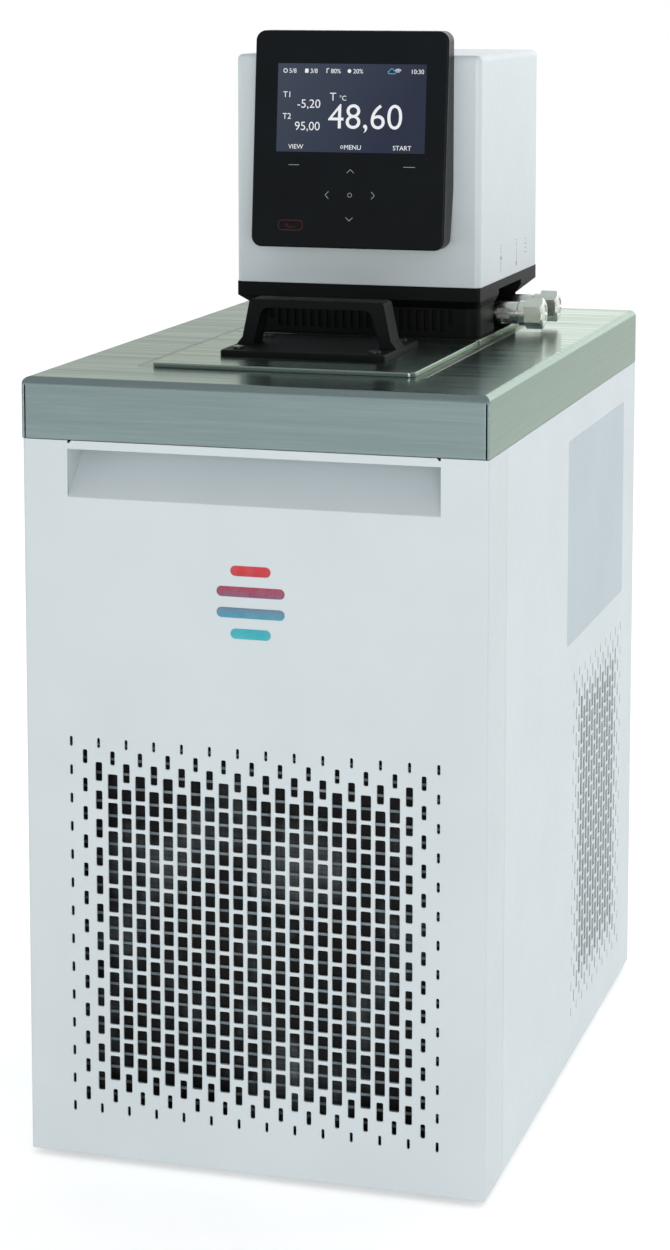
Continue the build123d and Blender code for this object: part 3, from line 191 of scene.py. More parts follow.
def lift(tree, height, distance, strength=1.0, after=None):
    """Bump: height from 0 to 1 stands for `distance` metres."""
    node = tree.nodes.new("ShaderNodeBump")
    node.inputs["Strength"].default_value = strength
    node.inputs["Distance"].default_value = distance
    tree.links.new(height, node.inputs["Height"])
    if after:
        tree.links.new(after, node.inputs["Normal"])
    return node.outputs[0]


def scaled(colour, factor):
    """A lighter or darker colour, never brighter than white."""
    return tuple(min(1.0, c * factor) for c in colour)


def soft_edges(tree, radius):
    """Light runs round an edge as if it were slightly rounded."""
    node = tree.nodes.new("ShaderNodeBevel")
    node.samples = 4
    node.inputs["Radius"].default_value = radius
    return node.outputs[0]


print("finish helpers ready")

# %% [markdown]
# ## Painted sheet
# The housings are powder coated: an even, slightly cool white with a very fine orange-peel surface
# and a satin shine. A flat colour would look like plastic, so the paint gets three layers of
# variation: wide and faint in colour, medium in shine, and fine in height. The compressor, the fan
# and the motors have the same kind of coat in black and grey.

# %% Paint finishes
def painted_sheet(name, colour, shine=0.42, edge=0.0006, peel=0.000012):
    """Powder coat with faint unevenness; edge rounds its folds, and peel is the depth of its orange peel."""
    material, tree, main = start_finish(name)
    cloud = spread(tree, grain(tree, 14.0, 3.0), 0.0, 1.0)
    shade = blend_colours(tree, cloud, scaled(colour, 0.975), scaled(colour, 1.02))
    plug(tree, shade, main.inputs["Base Color"])
    plug(tree, spread(tree, grain(tree, 160.0), shine - 0.04, shine + 0.05), main.inputs["Roughness"])
    if peel:
        rounded = soft_edges(tree, edge) if edge else None
        plug(tree, lift(tree, grain(tree, 900.0, 1.0), peel, 0.6, rounded), main.inputs["Normal"])
    return material


front_paint = painted_sheet("front_paint", tone("c5cdd0"))
# The sides and the rear get a slightly lighter copy of the front's paint: painted light, standing in for the
# light that falls on the sides.
side_paint = painted_sheet("side_paint", tone("c8d1d4"))
head_paint = painted_sheet("head_paint", tone("cbd4d7"), shine=0.36, edge=0.0010, peel=0.000006)
black_enamel = painted_sheet("black_enamel", tone("1b1d1f"), shine=0.3, edge=0.0008, peel=0.00002)
motor_enamel = painted_sheet("motor_enamel", tone("5c6266"), shine=0.4, edge=0.0008)
print("paints:", [m.name for m in (front_paint, side_paint, head_paint, black_enamel, motor_enamel)])

# %% [markdown]
# ## Brushed steel
# The deck is ground with a belt, which leaves short hair lines along its width on the top and the
# front, and along its depth on the sides. The lines scatter light across themselves, not along
# themselves. The finish finds out from the surface's direction which way the lines run, draws a noise
# out along them, and stretches the highlight across them. Small dark dots on the deck stand where
# spot welds hold it.

# %% Brushed steel finish
HAIR_LINES = (22.0, 1700.0)
WIDE_BANDS = (5.0, 240.0)
FACES_THAT_WAY = 0.7
MARK_RADIUS = 0.9 * MM
MARK_COLOUR = (0.03, 0.035, 0.03)
STEEL_TINT = (0.74, 0.79, 0.70, 1)
STEEL_EDGE = 0.9 * MM


def along_and_across(tree):
    """Two lengths on any face: along the grinding and across it."""
    normal = axes_of(tree, tree.nodes.new("ShaderNodeNewGeometry").outputs["Normal"])
    spot = axes_of(tree, place_on_part(tree))
    sideways = number(tree, "GREATER_THAN", number(tree, "ABSOLUTE", normal[0]), FACES_THAT_WAY)
    upward = number(tree, "GREATER_THAN", number(tree, "ABSOLUTE", normal[2]), FACES_THAT_WAY)
    along = number(tree, "MULTIPLY_ADD", number(tree, "SUBTRACT", spot[1], spot[0]), sideways, spot[0])
    across = number(tree, "MULTIPLY_ADD", number(tree, "SUBTRACT", spot[1], spot[2]), upward, spot[2])
    return along, across, upward


def spots(tree, places, radius):
    """1 inside small round marks at the given places, counted in metres on the part."""
    found = None
    where = place_on_part(tree)
    for place in places:
        node = tree.nodes.new("ShaderNodeVectorMath")
        node.operation = "DISTANCE"
        tree.links.new(where, node.inputs[0])
        node.inputs[1].default_value = place
        inside = number(tree, "LESS_THAN", node.outputs["Value"], radius)
        found = number(tree, "MAXIMUM", found, inside) if found else inside
    return found


def brushed_steel(name, colour, shine, marks=()):
    """Belt-ground stainless steel with hair lines and a highlight drawn out across them."""
    material, tree, main = start_finish(name)
    along, across, upward = along_and_across(tree)

    def drawn_out(counts, detail, slice_at):
        """Noise with one count to the metre along the grinding and a larger one across it."""
        place = [number(tree, "MULTIPLY", length, count) for length, count in zip((along, across), counts)]
        return grain(tree, 1.0, detail, where=join_vector(tree, *place, slice_at))

    lines = drawn_out(HAIR_LINES, 3.0, 0.0)
    bands = drawn_out(WIDE_BANDS, 2.0, 3.0)
    dark = scaled(colour, 0.9)
    shade = blend_colours(tree, spread(tree, lines, 0.0, 1.0), dark, scaled(colour, 1.07))
    shade = blend_colours(tree, spread(tree, bands, 0.0, 0.3), shade, dark)
    if marks:
        share = number(tree, "MULTIPLY", spots(tree, marks, MARK_RADIUS), 0.6)
        shade = blend_colours(tree, share, shade, MARK_COLOUR)
    plug(tree, shade, main.inputs["Base Color"])
    main.inputs["Metallic"].default_value = 1.0
    main.inputs["Specular Tint"].default_value = STEEL_TINT
    main.inputs["Anisotropic"].default_value = 0.65
    plug(tree, spread(tree, bands, shine - 0.05, shine + 0.06), main.inputs["Roughness"])
    plug(tree, join_vector(tree, 0.0, upward, number(tree, "SUBTRACT", 1.0, upward)), main.inputs["Tangent"])
    plug(tree, lift(tree, lines, 0.000005, 0.35, soft_edges(tree, STEEL_EDGE)), main.inputs["Normal"])
    return material


ON_TOP = [(-136, -121.5, DECK_TOP), (-136, -50.5, DECK_TOP), (136, -122.5, DECK_TOP), (136, -51.5, DECK_TOP)]
ON_SIDE = [(HALF_WIDTH, y, z) for y in (-219.2, 203.5) for z in (495.6, 478.5)]
WELD_MARKS = [tuple(length * MM for length in place) for place in ON_TOP + ON_SIDE]
deck_steel = brushed_steel("deck_steel", tone("869697"), shine=0.2, marks=WELD_MARKS)
lid_steel = brushed_steel("lid_steel", tone("8c9b96"), shine=0.2)
tank_steel = brushed_steel("tank_steel", tone("a8acab"), shine=0.3)
print("steel:", deck_steel.name, "with", len(WELD_MARKS), "weld marks,", lid_steel.name, tank_steel.name)

# %% [markdown]
# ## Other metals
# Nuts and hose bodies are nickel plated brass, turned or milled, so they show fine tool marks round
# their axis and sharp bright edges. Tubes are copper or bright steel, hidden sheet is galvanised, and
# the condenser is raw aluminium. One recipe serves them all: colour, shine, the size of its texture.
# The condenser's fins have their own: they are painted nearly black, as painted shade behind the
# grille, with lighter patches in level bands.

# %% Metal finishes
def plain_metal(name, colour, shine, texture, depth, stretch=(1, 1, 1), stain=0.15):
    """Bare or plated metal with tool marks, uneven shine and slight staining."""
    material, tree, main = start_finish(name)
    cloud = spread(tree, grain(tree, 45.0, 4.0), 0.0, 1.0)
    plug(tree, blend_colours(tree, cloud, scaled(colour, 1 - stain), colour), main.inputs["Base Color"])
    main.inputs["Metallic"].default_value = 1.0
    fine = grain(tree, texture, 2.0, stretch)
    plug(tree, spread(tree, fine, shine - 0.05, shine + 0.07), main.inputs["Roughness"])
    plug(tree, lift(tree, fine, depth, 0.5, soft_edges(tree, 0.0004)), main.inputs["Normal"])
    return material


nickel = plain_metal("nickel", tone("e2e3da"), 0.2, 900.0, 0.00001, (0.06, 1, 1))
bright_steel = plain_metal("bright_steel", tone("b4b8b8"), 0.22, 1200.0, 0.000006)
galvanised = plain_metal("galvanised", tone("9aa0a3"), 0.45, 70.0, 0.00001, stain=0.3)
aluminium = plain_metal("aluminium", tone("a9b1ba"), 0.38, 600.0, 0.00001, (0.1, 1, 1))
copper = plain_metal("copper", tone("b87a5a"), 0.34, 500.0, 0.00001, stain=0.35)


# Painted shade: the fins are nearly black, lighter only in patches along level bands.
PAINTED_SHADE_FIN = (0.0045, 0.0045, 0.0042)
LIGHT_PATCH_FIN = (0.17, 0.2, 0.205)


def fin_pack(name):
    """Thin fins painted nearly black as painted shade behind the grille, with lighter patches in level bands
    and fine upright lines.
    """
    material, tree, main = start_finish(name)
    patches = spread(tree, grain(tree, 16.0, 4.0, (1.6, 1, 1)), 0.0, 1.0, 0.5, 0.72)
    lines = spread(tree, grain(tree, 1500.0, 1.0, (1, 0.02, 0.004)), 0.3, 1.0)
    levels = spread(tree, grain(tree, 420.0, 1.0, (0.04, 0.04, 1)), 0.4, 1.0)
    share = number(tree, "MULTIPLY", number(tree, "MULTIPLY", patches, lines), levels)
    plug(tree, blend_colours(tree, share, PAINTED_SHADE_FIN, LIGHT_PATCH_FIN), main.inputs["Base Color"])
    plug(tree, spread(tree, lines, 0.45, 0.65), main.inputs["Roughness"])
    main.inputs["Metallic"].default_value = 0.6
    plug(tree, lift(tree, lines, 0.0002, 0.5), main.inputs["Normal"])
    return material


# The condenser fins are painted nearly black, as painted shade behind the grille.
painted_shade_fins = fin_pack("painted_shade_fins")
tube_metal = plain_metal("tube_metal", tone("9fadb4"), 0.45, 600.0, 0.00001, (0.1, 1, 1), stain=0.6)
metals = (nickel, bright_steel, galvanised, aluminium, copper, painted_shade_fins, tube_metal)
print("metals:", [m.name for m in metals])

# %% [markdown]
# ## Plastics, rubber and foam
# The bridge, the handle and the display case are moulded with a fine spark-eroded grain that keeps
# them from shining. The pane of the display is nearly smooth and only slightly glossy. A low specular
# level keeps the black deep under a bright studio.

# %% Plastic finishes
def moulded_plastic(name, colour, shine, texture=2200.0, depth=0.000015, specular=0.3, edge=0.0006):
    """Moulded plastic with a fine eroded grain, and a trace of dust in the wide variation."""
    material, tree, main = start_finish(name)
    dusty = tuple(min(1.0, c * 1.2 + 0.0006) for c in colour)
    dust = spread(tree, grain(tree, 30.0, 4.0), 0.0, 1.0, 0.4, 0.75)
    plug(tree, blend_colours(tree, dust, colour, dusty), main.inputs["Base Color"])
    main.inputs["Specular IOR Level"].default_value = specular
    fine = grain(tree, texture, 2.0)
    plug(tree, spread(tree, fine, shine - 0.05, shine + 0.06), main.inputs["Roughness"])
    plug(tree, lift(tree, fine, depth, 0.6, soft_edges(tree, edge)), main.inputs["Normal"])
    return material


black_plastic = moulded_plastic("black_plastic", (0.0024, 0.0028, 0.0032), 0.55, specular=0.12)
case_plastic = moulded_plastic("case_plastic", (0.0045, 0.0055, 0.0062), 0.4, specular=0.15)
pane = moulded_plastic("pane", (0.0046, 0.0062, 0.0074), 0.24, 3000.0, 0.000002, specular=0.1, edge=0.0008)
white_plastic = moulded_plastic("white_plastic", tone("d8d9d4"), 0.4)
red_plastic = moulded_plastic("red_plastic", tone("a81c1c"), 0.4)
board_green = moulded_plastic("board_green", tone("1f5a38"), 0.35, 400.0)
rubber = moulded_plastic("rubber", (0.012, 0.012, 0.012), 0.75, 1500.0, 0.00004, specular=0.2)
foam = moulded_plastic("foam", tone("cbbf9a"), 0.9, 350.0, 0.0004, specular=0.1)
print("plastics:", black_plastic.name, case_plastic.name, pane.name, rubber.name, foam.name)

# %% [markdown]
# ## The lit screen
# The screen is a dark blue-grey panel that gives off a little light of its own. Its upper left part fades
# to a lighter colour, a painted reflection of the room's light. The glow is on the surface itself, painted
# reflection included, so both stay when the room is dark.

# %% Screen finish
def glowing(name, colour, strength, painted_reflection=None):
    """A surface that is lit from inside; the last argument is the colour of a painted reflection that it
    fades to at the upper left.
    """
    material, tree, main = start_finish(name)
    main.inputs["Base Color"].default_value = (0.004, 0.005, 0.007, 1)
    main.inputs["Roughness"].default_value = 0.25
    main.inputs["Specular IOR Level"].default_value = 0.15
    main.inputs["Emission Strength"].default_value = strength
    pixels = spread(tree, grain(tree, 4000.0, 0.0), 0.0, 1.0)
    shade = blend_colours(tree, pixels, scaled(colour, 0.93), colour)
    # Painted reflection: the upper left fades to a lighter colour, as if the room's light were mirrored in
    # the screen.
    if painted_reflection:
        spot = axes_of(tree, place_on_part(tree))
        slant = number(tree, "SUBTRACT", number(tree, "MULTIPLY", spot[2], 0.6), spot[0])
        shade = blend_colours(tree, spread(tree, slant, 0.0, 1.0, 0.36, 0.47), shade, painted_reflection)
    plug(tree, shade, main.inputs["Emission Color"])
    return material


# The last colour is a painted reflection over the screen's upper left.
screen_glow = glowing("screen_glow", tone("262c3e"), 1.0, tone("3b4453"))
ink_white = glowing("ink_white", (0.86, 0.88, 0.9), 1.0)
ink_blue = glowing("ink_blue", tone("5fb2e6"), 1.0)
key_grey = glowing("key_grey", tone("9aa0a3"), 1.0)
key_red = glowing("key_red", tone("5a2422"), 1.0)
print("screen finishes:", screen_glow.name, ink_white.name, ink_blue.name)

# %% [markdown]
# ## Dressing the solids
# Every solid of the frame gets a finish here, hidden ones too, because the part is looked at with its
# panel pulled and its lid lifted. One table says which finish goes where.

# %% Assign finishes
FINISHES = [
    (side_paint, ["side_panel_right", "side_panel_left", "rear_panel"]),
    (front_paint, ["front_panel"]),
    (head_paint, ["head_housing"]),
    (deck_steel, ["deck"]),
    (lid_steel, ["lid_plate", "bridge_plate"]),
    (tank_steel, ["bath_tank"]),
    (bright_steel, ["evaporator_coil", "heater_coil", "temperature_probe", "float_stem",
                    "pump_column", "pump_shaft", "fan_shaft", "feed_pipe", "return_pipe"]),
    (nickel, ["feed_port", "return_port", "feed_nut", "return_nut", "feed_plug", "return_plug", "drain_tap"]),
    (galvanised, ["base_pan", "control_box"]),
    (aluminium, ["fan_bracket"]),
    (tube_metal, ["condenser_core"]),
    (painted_shade_fins, ["condenser_fins"]),
    (copper, ["discharge_line", "suction_line", "filter_drier", "drain_pipe"]),
    (black_enamel, ["handle_screws", "compressor", "fan_shroud", "fan_wheel"]),
    (motor_enamel, ["fan_motor", "pump_motor"]),
    (black_plastic, ["lid_handle", "bridge_body", "head_tray", "mains_inlet", "switch_frame",
                     "switch_rocker", "pump_housing", "impeller"]),
    (case_plastic, ["display_case"]),
    (pane, ["display_front"]),
    (screen_glow, ["display_screen"]),
    (board_green, ["control_board"]),
    (rubber, ["foot_front_left", "foot_front_right", "foot_rear_left", "foot_rear_right",
              "compressor_mounts"]),
    (foam, ["tank_insulation"]),
    (white_plastic, ["level_float"]),
    (red_plastic, ["tap_lever"]),
]


def dress(piece, finish):
    """Gives a piece one finish, in place of any it had."""
    piece.data.materials.clear()
    piece.data.materials.append(finish)


dressed = set()
for finish, names in FINISHES:
    for name in names:
        dress(nodes[name], finish)
        dressed.add(name)
print("dressed:", len(dressed), "of", len(nodes), "left:", sorted(set(nodes) - dressed))

# %% [markdown]
# ## Floor and light
# The photograph has a white ground and no hard shadow. A wide pale floor and a bright sky give that:
# the floor throws light back on the housing, and the object only darkens it close to its foot.
# Low down behind the object the sky is dimmer on the left than on the right, which gives the steel
# deck its change from grey to white. Two lamps stand in front on the right and one behind. The camera
# itself sees the sky as plain white, and the floor glows a little, so that it is as white as the sky.

# %% Make the floor
FLOOR_HALF = 30.0
FLOOR_SQUARES = 12
FLOOR_GLOW = 0.42
GAP_UNDER_FEET = 0.2 * MM


def link_piece(name, mesh, finish):
    """A new object from a mesh, with its finish."""
    piece = bpy.data.objects.new(name, mesh)
    bpy.context.scene.collection.objects.link(piece)
    dress(piece, finish)
    return piece


def mesh_from(name, shape):
    """Turns a finished shape into a mesh."""
    mesh = bpy.data.meshes.new(name)
    shape.to_mesh(mesh)
    shape.free()
    return mesh


def floor_mesh(half, steps):
    """A wide plane, divided into squares."""
    shape = bmesh.new()
    bmesh.ops.create_grid(shape, x_segments=steps, y_segments=steps, size=half)
    return mesh_from("floor", shape)


floor_paint = painted_sheet("floor_paint", (0.93, 0.93, 0.93), shine=0.85, edge=0)
floor_shader = floor_paint.node_tree.nodes["Principled BSDF"]
floor_shader.inputs["Emission Color"].default_value = (1, 1, 1, 1)
floor_shader.inputs["Emission Strength"].default_value = FLOOR_GLOW
floor_shader.inputs["Specular IOR Level"].default_value = 0.1
floor = link_piece("floor", floor_mesh(FLOOR_HALF, FLOOR_SQUARES), floor_paint)
floor.location.z = cad_box[0].z - GAP_UNDER_FEET
print("floor at", round(floor.location.z, 5))

# %% Light the studio
SKY_TONE = (0.9, 0.92, 0.93)
DIM, BRIGHT = 1.5, 3.0
DIM_AT, BRIGHT_AT = math.radians(-17.5), math.radians(-13)
MIDDLE = Vector((0, 0, 0.35))


def sky(strength):
    """White light from all round, stronger low down behind, most of all on the right."""
    world = bpy.data.worlds.new("studio")
    bpy.context.scene.world = world
    world.use_nodes = True
    tree = world.node_tree
    light = tree.nodes["Background"]
    way = axes_of(tree, tree.nodes.new("ShaderNodeTexCoord").outputs["Generated"])
    turn = number(tree, "ARCTAN2", way[0], way[1])
    bright = spread(tree, turn, DIM, BRIGHT, DIM_AT, BRIGHT_AT)
    high = spread(tree, way[2], 0.0, 1.0, 0.25, 0.6)
    behind = spread(tree, way[1], 0.0, 1.0, 0.2, 0.6)
    low_behind = number(tree, "MULTIPLY", behind, number(tree, "SUBTRACT", 1.0, high))
    shade = blend_colours(tree, low_behind, SKY_TONE, join_vector(tree, bright, bright, bright))
    tree.links.new(shade, light.inputs["Color"])
    light.inputs["Strength"].default_value = strength
    white = tree.nodes.new("ShaderNodeBackground")
    white.inputs["Color"].default_value = (1, 1, 1, 1)
    both = tree.nodes.new("ShaderNodeMixShader")
    tree.links.new(tree.nodes.new("ShaderNodeLightPath").outputs["Is Camera Ray"], both.inputs[0])
    tree.links.new(light.outputs[0], both.inputs[1])
    tree.links.new(white.outputs[0], both.inputs[2])
    tree.links.new(both.outputs[0], tree.nodes["World Output"].inputs["Surface"])


def softbox(name, place, size, power):
    """A large square lamp aimed at the middle of the object."""
    data = bpy.data.lights.new(name, "AREA")
    data.size = size
    data.energy = power
    lamp = bpy.data.objects.new(name, data)
    lamp.location = place
    aim(lamp, MIDDLE - lamp.location)
    bpy.context.scene.collection.objects.link(lamp)


sky(0.64)
softbox("key", (1.0, -3.4, 0.6), 1.6, 30.0)
softbox("low", (0.7, -3.0, 0.25), 1.2, 8.0)
softbox("back", (0.9, 2.2, 2.3), 1.4, 12.0)
bpy.context.scene.view_settings.view_transform = "Standard"

# %% [markdown]
# ## The punched sheets
# The grille is the finest part of the housing. On the real tower a press punches slots into a flat
# sheet, row by row, each row shifted by half a step, and the slots grow from thin slits at the border
# to large windows in the middle. Then the sheet is folded. The same order works here: draw the flat
# sheet with its holes, fill what is left with triangles, fold the flat points round the corners, and
# give the skin its thickness. The sheets stand 0.12 mm inside the outline of the solids, so that what
# is printed on them doesn't stick out.

# %% Draw the slots, the bars and the plate
PITCH_OF_SLOTS = 9.2
SLOT_SIZES = [(2.0, 6.5), (3.1, 9.0), (4.5, 12.2), (6.6, 16.1)]
ROWS, FRONT_COLUMNS, SIDE_COLUMNS = 27, 27, 19
GRILLE_FOOT = 35.6
SIDE_GRILLE_MIDDLE = 94.5
PRINT_DEPTH = 0.12
BAR_STEP, BAR_HEIGHT = 11.6, 6.4


def rounded_rectangle(across, up, width, height, radius, steps=3):
    """Corner points of a rounded rectangle, turning left."""
    points = []
    for corner in range(4):
        side = 1 if corner in (0, 3) else -1
        rise = 1 if corner in (0, 1) else -1
        middle = (across + side * (width / 2 - radius), up + rise * (height / 2 - radius))
        for step in range(steps + 1):
            angle = math.radians(90 * (corner + step / steps))
            points.append((middle[0] + radius * math.cos(angle), middle[1] + radius * math.sin(angle)))
    return points


def grille(columns, middle):
    """All slots of one grille, from slits at the border to windows in the middle."""
    slots = []
    for column in range(columns):
        for row in range(ROWS):
            if (column + row) % 2:
                continue
            ring = min(column, columns - 1 - column, row, ROWS - 1 - row)
            width, height = SLOT_SIZES[min(ring, len(SLOT_SIZES) - 1)]
            across = middle + (column - (columns - 1) / 2) * PITCH_OF_SLOTS
            up = GRILLE_FOOT + row * PITCH_OF_SLOTS
            slots.append(rounded_rectangle(across, up, width, height, min(1.0, width / 2.01)))
    return slots


front_slots = grille(FRONT_COLUMNS, 0.0)
side_slots = grille(SIDE_COLUMNS, SIDE_GRILLE_MIDDLE)
bars = [rounded_rectangle(-0.3, 370.7 + step * BAR_STEP, width, BAR_HEIGHT, 3.15, 8)
        for step, width in ((-1.7, 26), (-0.57, 44), (0.57, 44), (1.7, 26))]
plate_shape = [rounded_rectangle(83.8, 371.5, 193.4, 141.0, 2.0, 6)]
print("slots in front:", len(front_slots), "and on the side:", len(side_slots))

# %% Fill and fold a sheet
def fill_sheet(outline, holes, fold_lines=()):
    """Flat points and triangles of a sheet with holes, divided along its fold lines."""
    points, faces = [], []
    for loop in [outline] + holes:
        faces.append(list(range(len(points), len(points) + len(loop))))
        points += loop
    low = min(up for _, up in outline)
    high = max(up for _, up in outline)
    edges = []
    for across in fold_lines:
        edges.append((len(points), len(points) + 1))
        points += [(across, low), (across, high)]
    flat = [Vector(p) for p in points]
    made = delaunay_2d_cdt(flat, edges, faces, 0, 1e-5, True)
    kept = [face for face, origin in zip(made[2], made[5]) if list(origin) == [0]]
    return [tuple(p) for p in made[0]], kept


def thicken(piece, thickness, offset=-1.0):
    """Gives a skin its thickness in millimetres: inwards, or to both sides when the offset is 0."""
    wall = piece.modifiers.new("thickness", "SOLIDIFY")
    wall.thickness = thickness * MM
    wall.offset = offset


def sheet_piece(name, flat, faces, fold, thickness, finish):
    """Folds flat points into place and gives the skin its thickness, inwards."""
    shape = bmesh.new()
    corners = [shape.verts.new(Vector(fold(*p)) * MM) for p in flat]
    for face in faces:
        shape.faces.new([corners[i] for i in face])
    loose = [v for v in shape.verts if not v.link_faces]
    bmesh.ops.delete(shape, geom=loose, context="VERTS")
    piece = link_piece(name, mesh_from(name, shape), finish)
    thicken(piece, thickness)
    return piece


print("sheet tools ready")

# %% [markdown]
# ## The front panel
# A wide front with two narrow returns at its sides, folded round a 2 mm radius. Near its top a window
# opens into a sloping finger recess, under a narrow lip with small relief notches at its ends.

# %% Cut and fold the front
SHEET_WALL = 1.15
BEND = 2.0
BEND_STEPS = 5
FLAT_HALF = HALF_WIDTH - BEND
RETURN_END = -195.5
FRONT_Y = PRINT_DEPTH - HALF_DEPTH
SHEET_LOW, SHEET_HIGH = 4.0, 466.6
RECESS_HALF, RECESS_LOW, RECESS_HIGH = 120.0, 431.0, 461.2
ARC = BEND * math.pi / 2


def fold_front(across, up):
    """Flat place to place on the tower: flat front, rounded corner, side return."""
    far = abs(across)
    side = 1 if across >= 0 else -1
    if far <= FLAT_HALF:
        return across, FRONT_Y, up
    if far <= FLAT_HALF + ARC:
        angle = (far - FLAT_HALF) / BEND
        x = FLAT_HALF + (BEND - PRINT_DEPTH) * math.sin(angle)
        return side * x, FRONT_Y + BEND * (1 - math.cos(angle)), up
    return side * (HALF_WIDTH - PRINT_DEPTH), FRONT_Y + BEND + far - FLAT_HALF - ARC, up


def front_outline():
    """The sheet before folding, with its relief notches."""
    half = FLAT_HALF + ARC + (RETURN_END - FRONT_Y - BEND)
    top = SHEET_HIGH
    right = [(half, SHEET_LOW), (half, top), (RECESS_HALF, top), (RECESS_HALF, top - 1.6)]
    right += [(RECESS_HALF - 1.6, top - 1.6), (RECESS_HALF - 1.6, top - 0.6), (RECESS_HALF - 2.4, top - 0.6)]
    right += [(RECESS_HALF - 2.4, top)]
    return right + [(-x, z) for x, z in reversed(right)]


window = [(RECESS_HALF, RECESS_LOW), (RECESS_HALF, RECESS_HIGH),
          (-RECESS_HALF, RECESS_HIGH), (-RECESS_HALF, RECESS_LOW)]
folds = [side * (FLAT_HALF + ARC * step / BEND_STEPS) for side in (-1, 1) for step in range(BEND_STEPS + 1)]
flat, faces = fill_sheet(front_outline(), front_slots + [window] + bars, folds)
front_sheet = sheet_piece("front_sheet", flat, faces, fold_front, SHEET_WALL, front_paint)
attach(front_sheet, "front_panel")
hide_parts("front_panel")
print("front sheet:", len(flat), "points,", len(faces), "triangles")

# %% Fold the finger recess
RECESS_WALL = 1.1
RECESS_BACK = -209.5


def recess_mesh():
    """Sloping floor, flat roof and two end walls behind the window."""
    shape = bmesh.new()
    rows = []
    for x in (-RECESS_HALF, RECESS_HALF):
        path = [(FRONT_Y, RECESS_LOW), (RECESS_BACK, RECESS_HIGH), (FRONT_Y + RECESS_WALL, RECESS_HIGH)]
        rows.append([shape.verts.new(Vector((x, y, z)) * MM) for y, z in path])
    left, right = rows
    shape.faces.new((left[0], right[0], right[1], left[1]))
    shape.faces.new((left[1], right[1], right[2], left[2]))
    shape.faces.new(left)
    shape.faces.new(list(reversed(right)))
    bmesh.ops.recalc_face_normals(shape, faces=shape.faces)
    bmesh.ops.reverse_faces(shape, faces=shape.faces)
    return mesh_from("finger_recess", shape)


recess = link_piece("finger_recess", recess_mesh(), front_paint)
thicken(recess, RECESS_WALL)
rim = recess.modifiers.new("rounding", "BEVEL")
rim.width = 0.6 * MM
rim.segments = 2
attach(recess, "front_panel")
print("recess:", [round(v, 4) for v in recess.dimensions])

# %% [markdown]
# ## The right side
# A flat sheet with the same slots, nineteen columns wide. At its rear it has a folded flange, and at
# its top a tongue that is set back by its own thickness and slides up behind the skirt of the deck.
# The flange and the tongue are folded strips; both are drawn as one more skin.

# %% Cut the side
SIDE_FRONT, SIDE_REAR = -195.1, 222.5


def stand_side(across, up):
    """Flat place to place on the right side: across runs from front to rear."""
    return HALF_WIDTH - PRINT_DEPTH, across, up


side_edge = [(SIDE_FRONT, SHEET_LOW), (SIDE_REAR, SHEET_LOW),
             (SIDE_REAR, SHEET_HIGH), (SIDE_FRONT, SHEET_HIGH)]
flat, faces = fill_sheet(side_edge, side_slots + plate_shape)
side_sheet = sheet_piece("side_sheet", flat, faces, stand_side, SHEET_WALL, side_paint)
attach(side_sheet, "tower")
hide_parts("side_panel_right")
print("side sheet:", len(flat), "points,", len(faces), "triangles")


# %% Fold the flange and the tongue
def strip_piece(name, path, start, end, thickness, finish):
    """A strip: a path of points, drawn out from a start vector to an end vector."""
    shape = bmesh.new()
    rows = [[shape.verts.new((Vector(p) + Vector(way)) * MM) for p in path] for way in (start, end)]
    for i in range(len(path) - 1):
        shape.faces.new((rows[0][i], rows[0][i + 1], rows[1][i + 1], rows[1][i]))
    piece = link_piece(name, mesh_from(name, shape), finish)
    thicken(piece, thickness, 0.0)
    return piece


FLANGE_PATH = [(148.9, 220.1, 0), (148.2, 220.7, 0), (134.0, 220.7, 0)]
TONGUE_PATH = [(148.0, 0, 450.0), (148.0, 0, 465.8), (147.9, 0, 467.2), (147.9, 0, 485.0)]
flange = strip_piece("side_flange", FLANGE_PATH, (0, 0, 6.0), (0, 0, 462.6), 1.1, side_paint)
tongue = strip_piece("side_tongue", TONGUE_PATH, (0, -175.5, 0), (0, 202.5, 0), 0.9, galvanised)
for strip in (flange, tongue):
    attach(strip, "tower")
print("strips:", flange.name, tongue.name)

# %% [markdown]
# ## Prints and plates on the housing
# A plain plate lies on the side, and a coloured mark sits on the front. The plate is blank, and the
# mark is a stack of rounded bars that fades from warm red to cold blue-green, as a scale of
# temperature would. Real ones are thin films. A film so thin would flicker where it touches the
# sheet, so both are inlays: the sheet has a hole of their shape, and they fill it, a hair proud.

# %% Print the plate and the mark
INLAY_PROUD, INLAY_DEPTH = 0.06, 0.9


def print_mesh(name, loops, place, thickness, depth=0.0):
    """Each loop becomes a slab that stands proud by its thickness and reaches in by its depth."""
    shape = bmesh.new()
    for loop in loops:
        front = [shape.verts.new(Vector(place(a, u, thickness)) * MM) for a, u in loop]
        back = [shape.verts.new(Vector(place(a, u, -depth)) * MM) for a, u in loop]
        shape.faces.new(front)
        shape.faces.new(list(reversed(back)))
        for i in range(len(loop)):
            j = (i + 1) % len(loop)
            shape.faces.new((front[i], back[i], back[j], front[j]))
    bmesh.ops.recalc_face_normals(shape, faces=shape.faces)
    return mesh_from(name, shape)


def on_front(across, up, proud):
    """A place on the front sheet."""
    return across, FRONT_Y - proud, up


def on_side(across, up, proud):
    """A place on the side sheet."""
    return HALF_WIDTH - PRINT_DEPTH + proud, across, up


MARK_FOOT, MARK_TOP = 0.3477, 0.3937
WORN_INK = (0.7, 0.72, 0.73)
COLD_TO_WARM = [(0.0, tone("1fa5ad")), (0.3, tone("2f8aa0")), (0.55, tone("6b4468")),
                (0.75, tone("a11c30")), (1.0, tone("c01420"))]


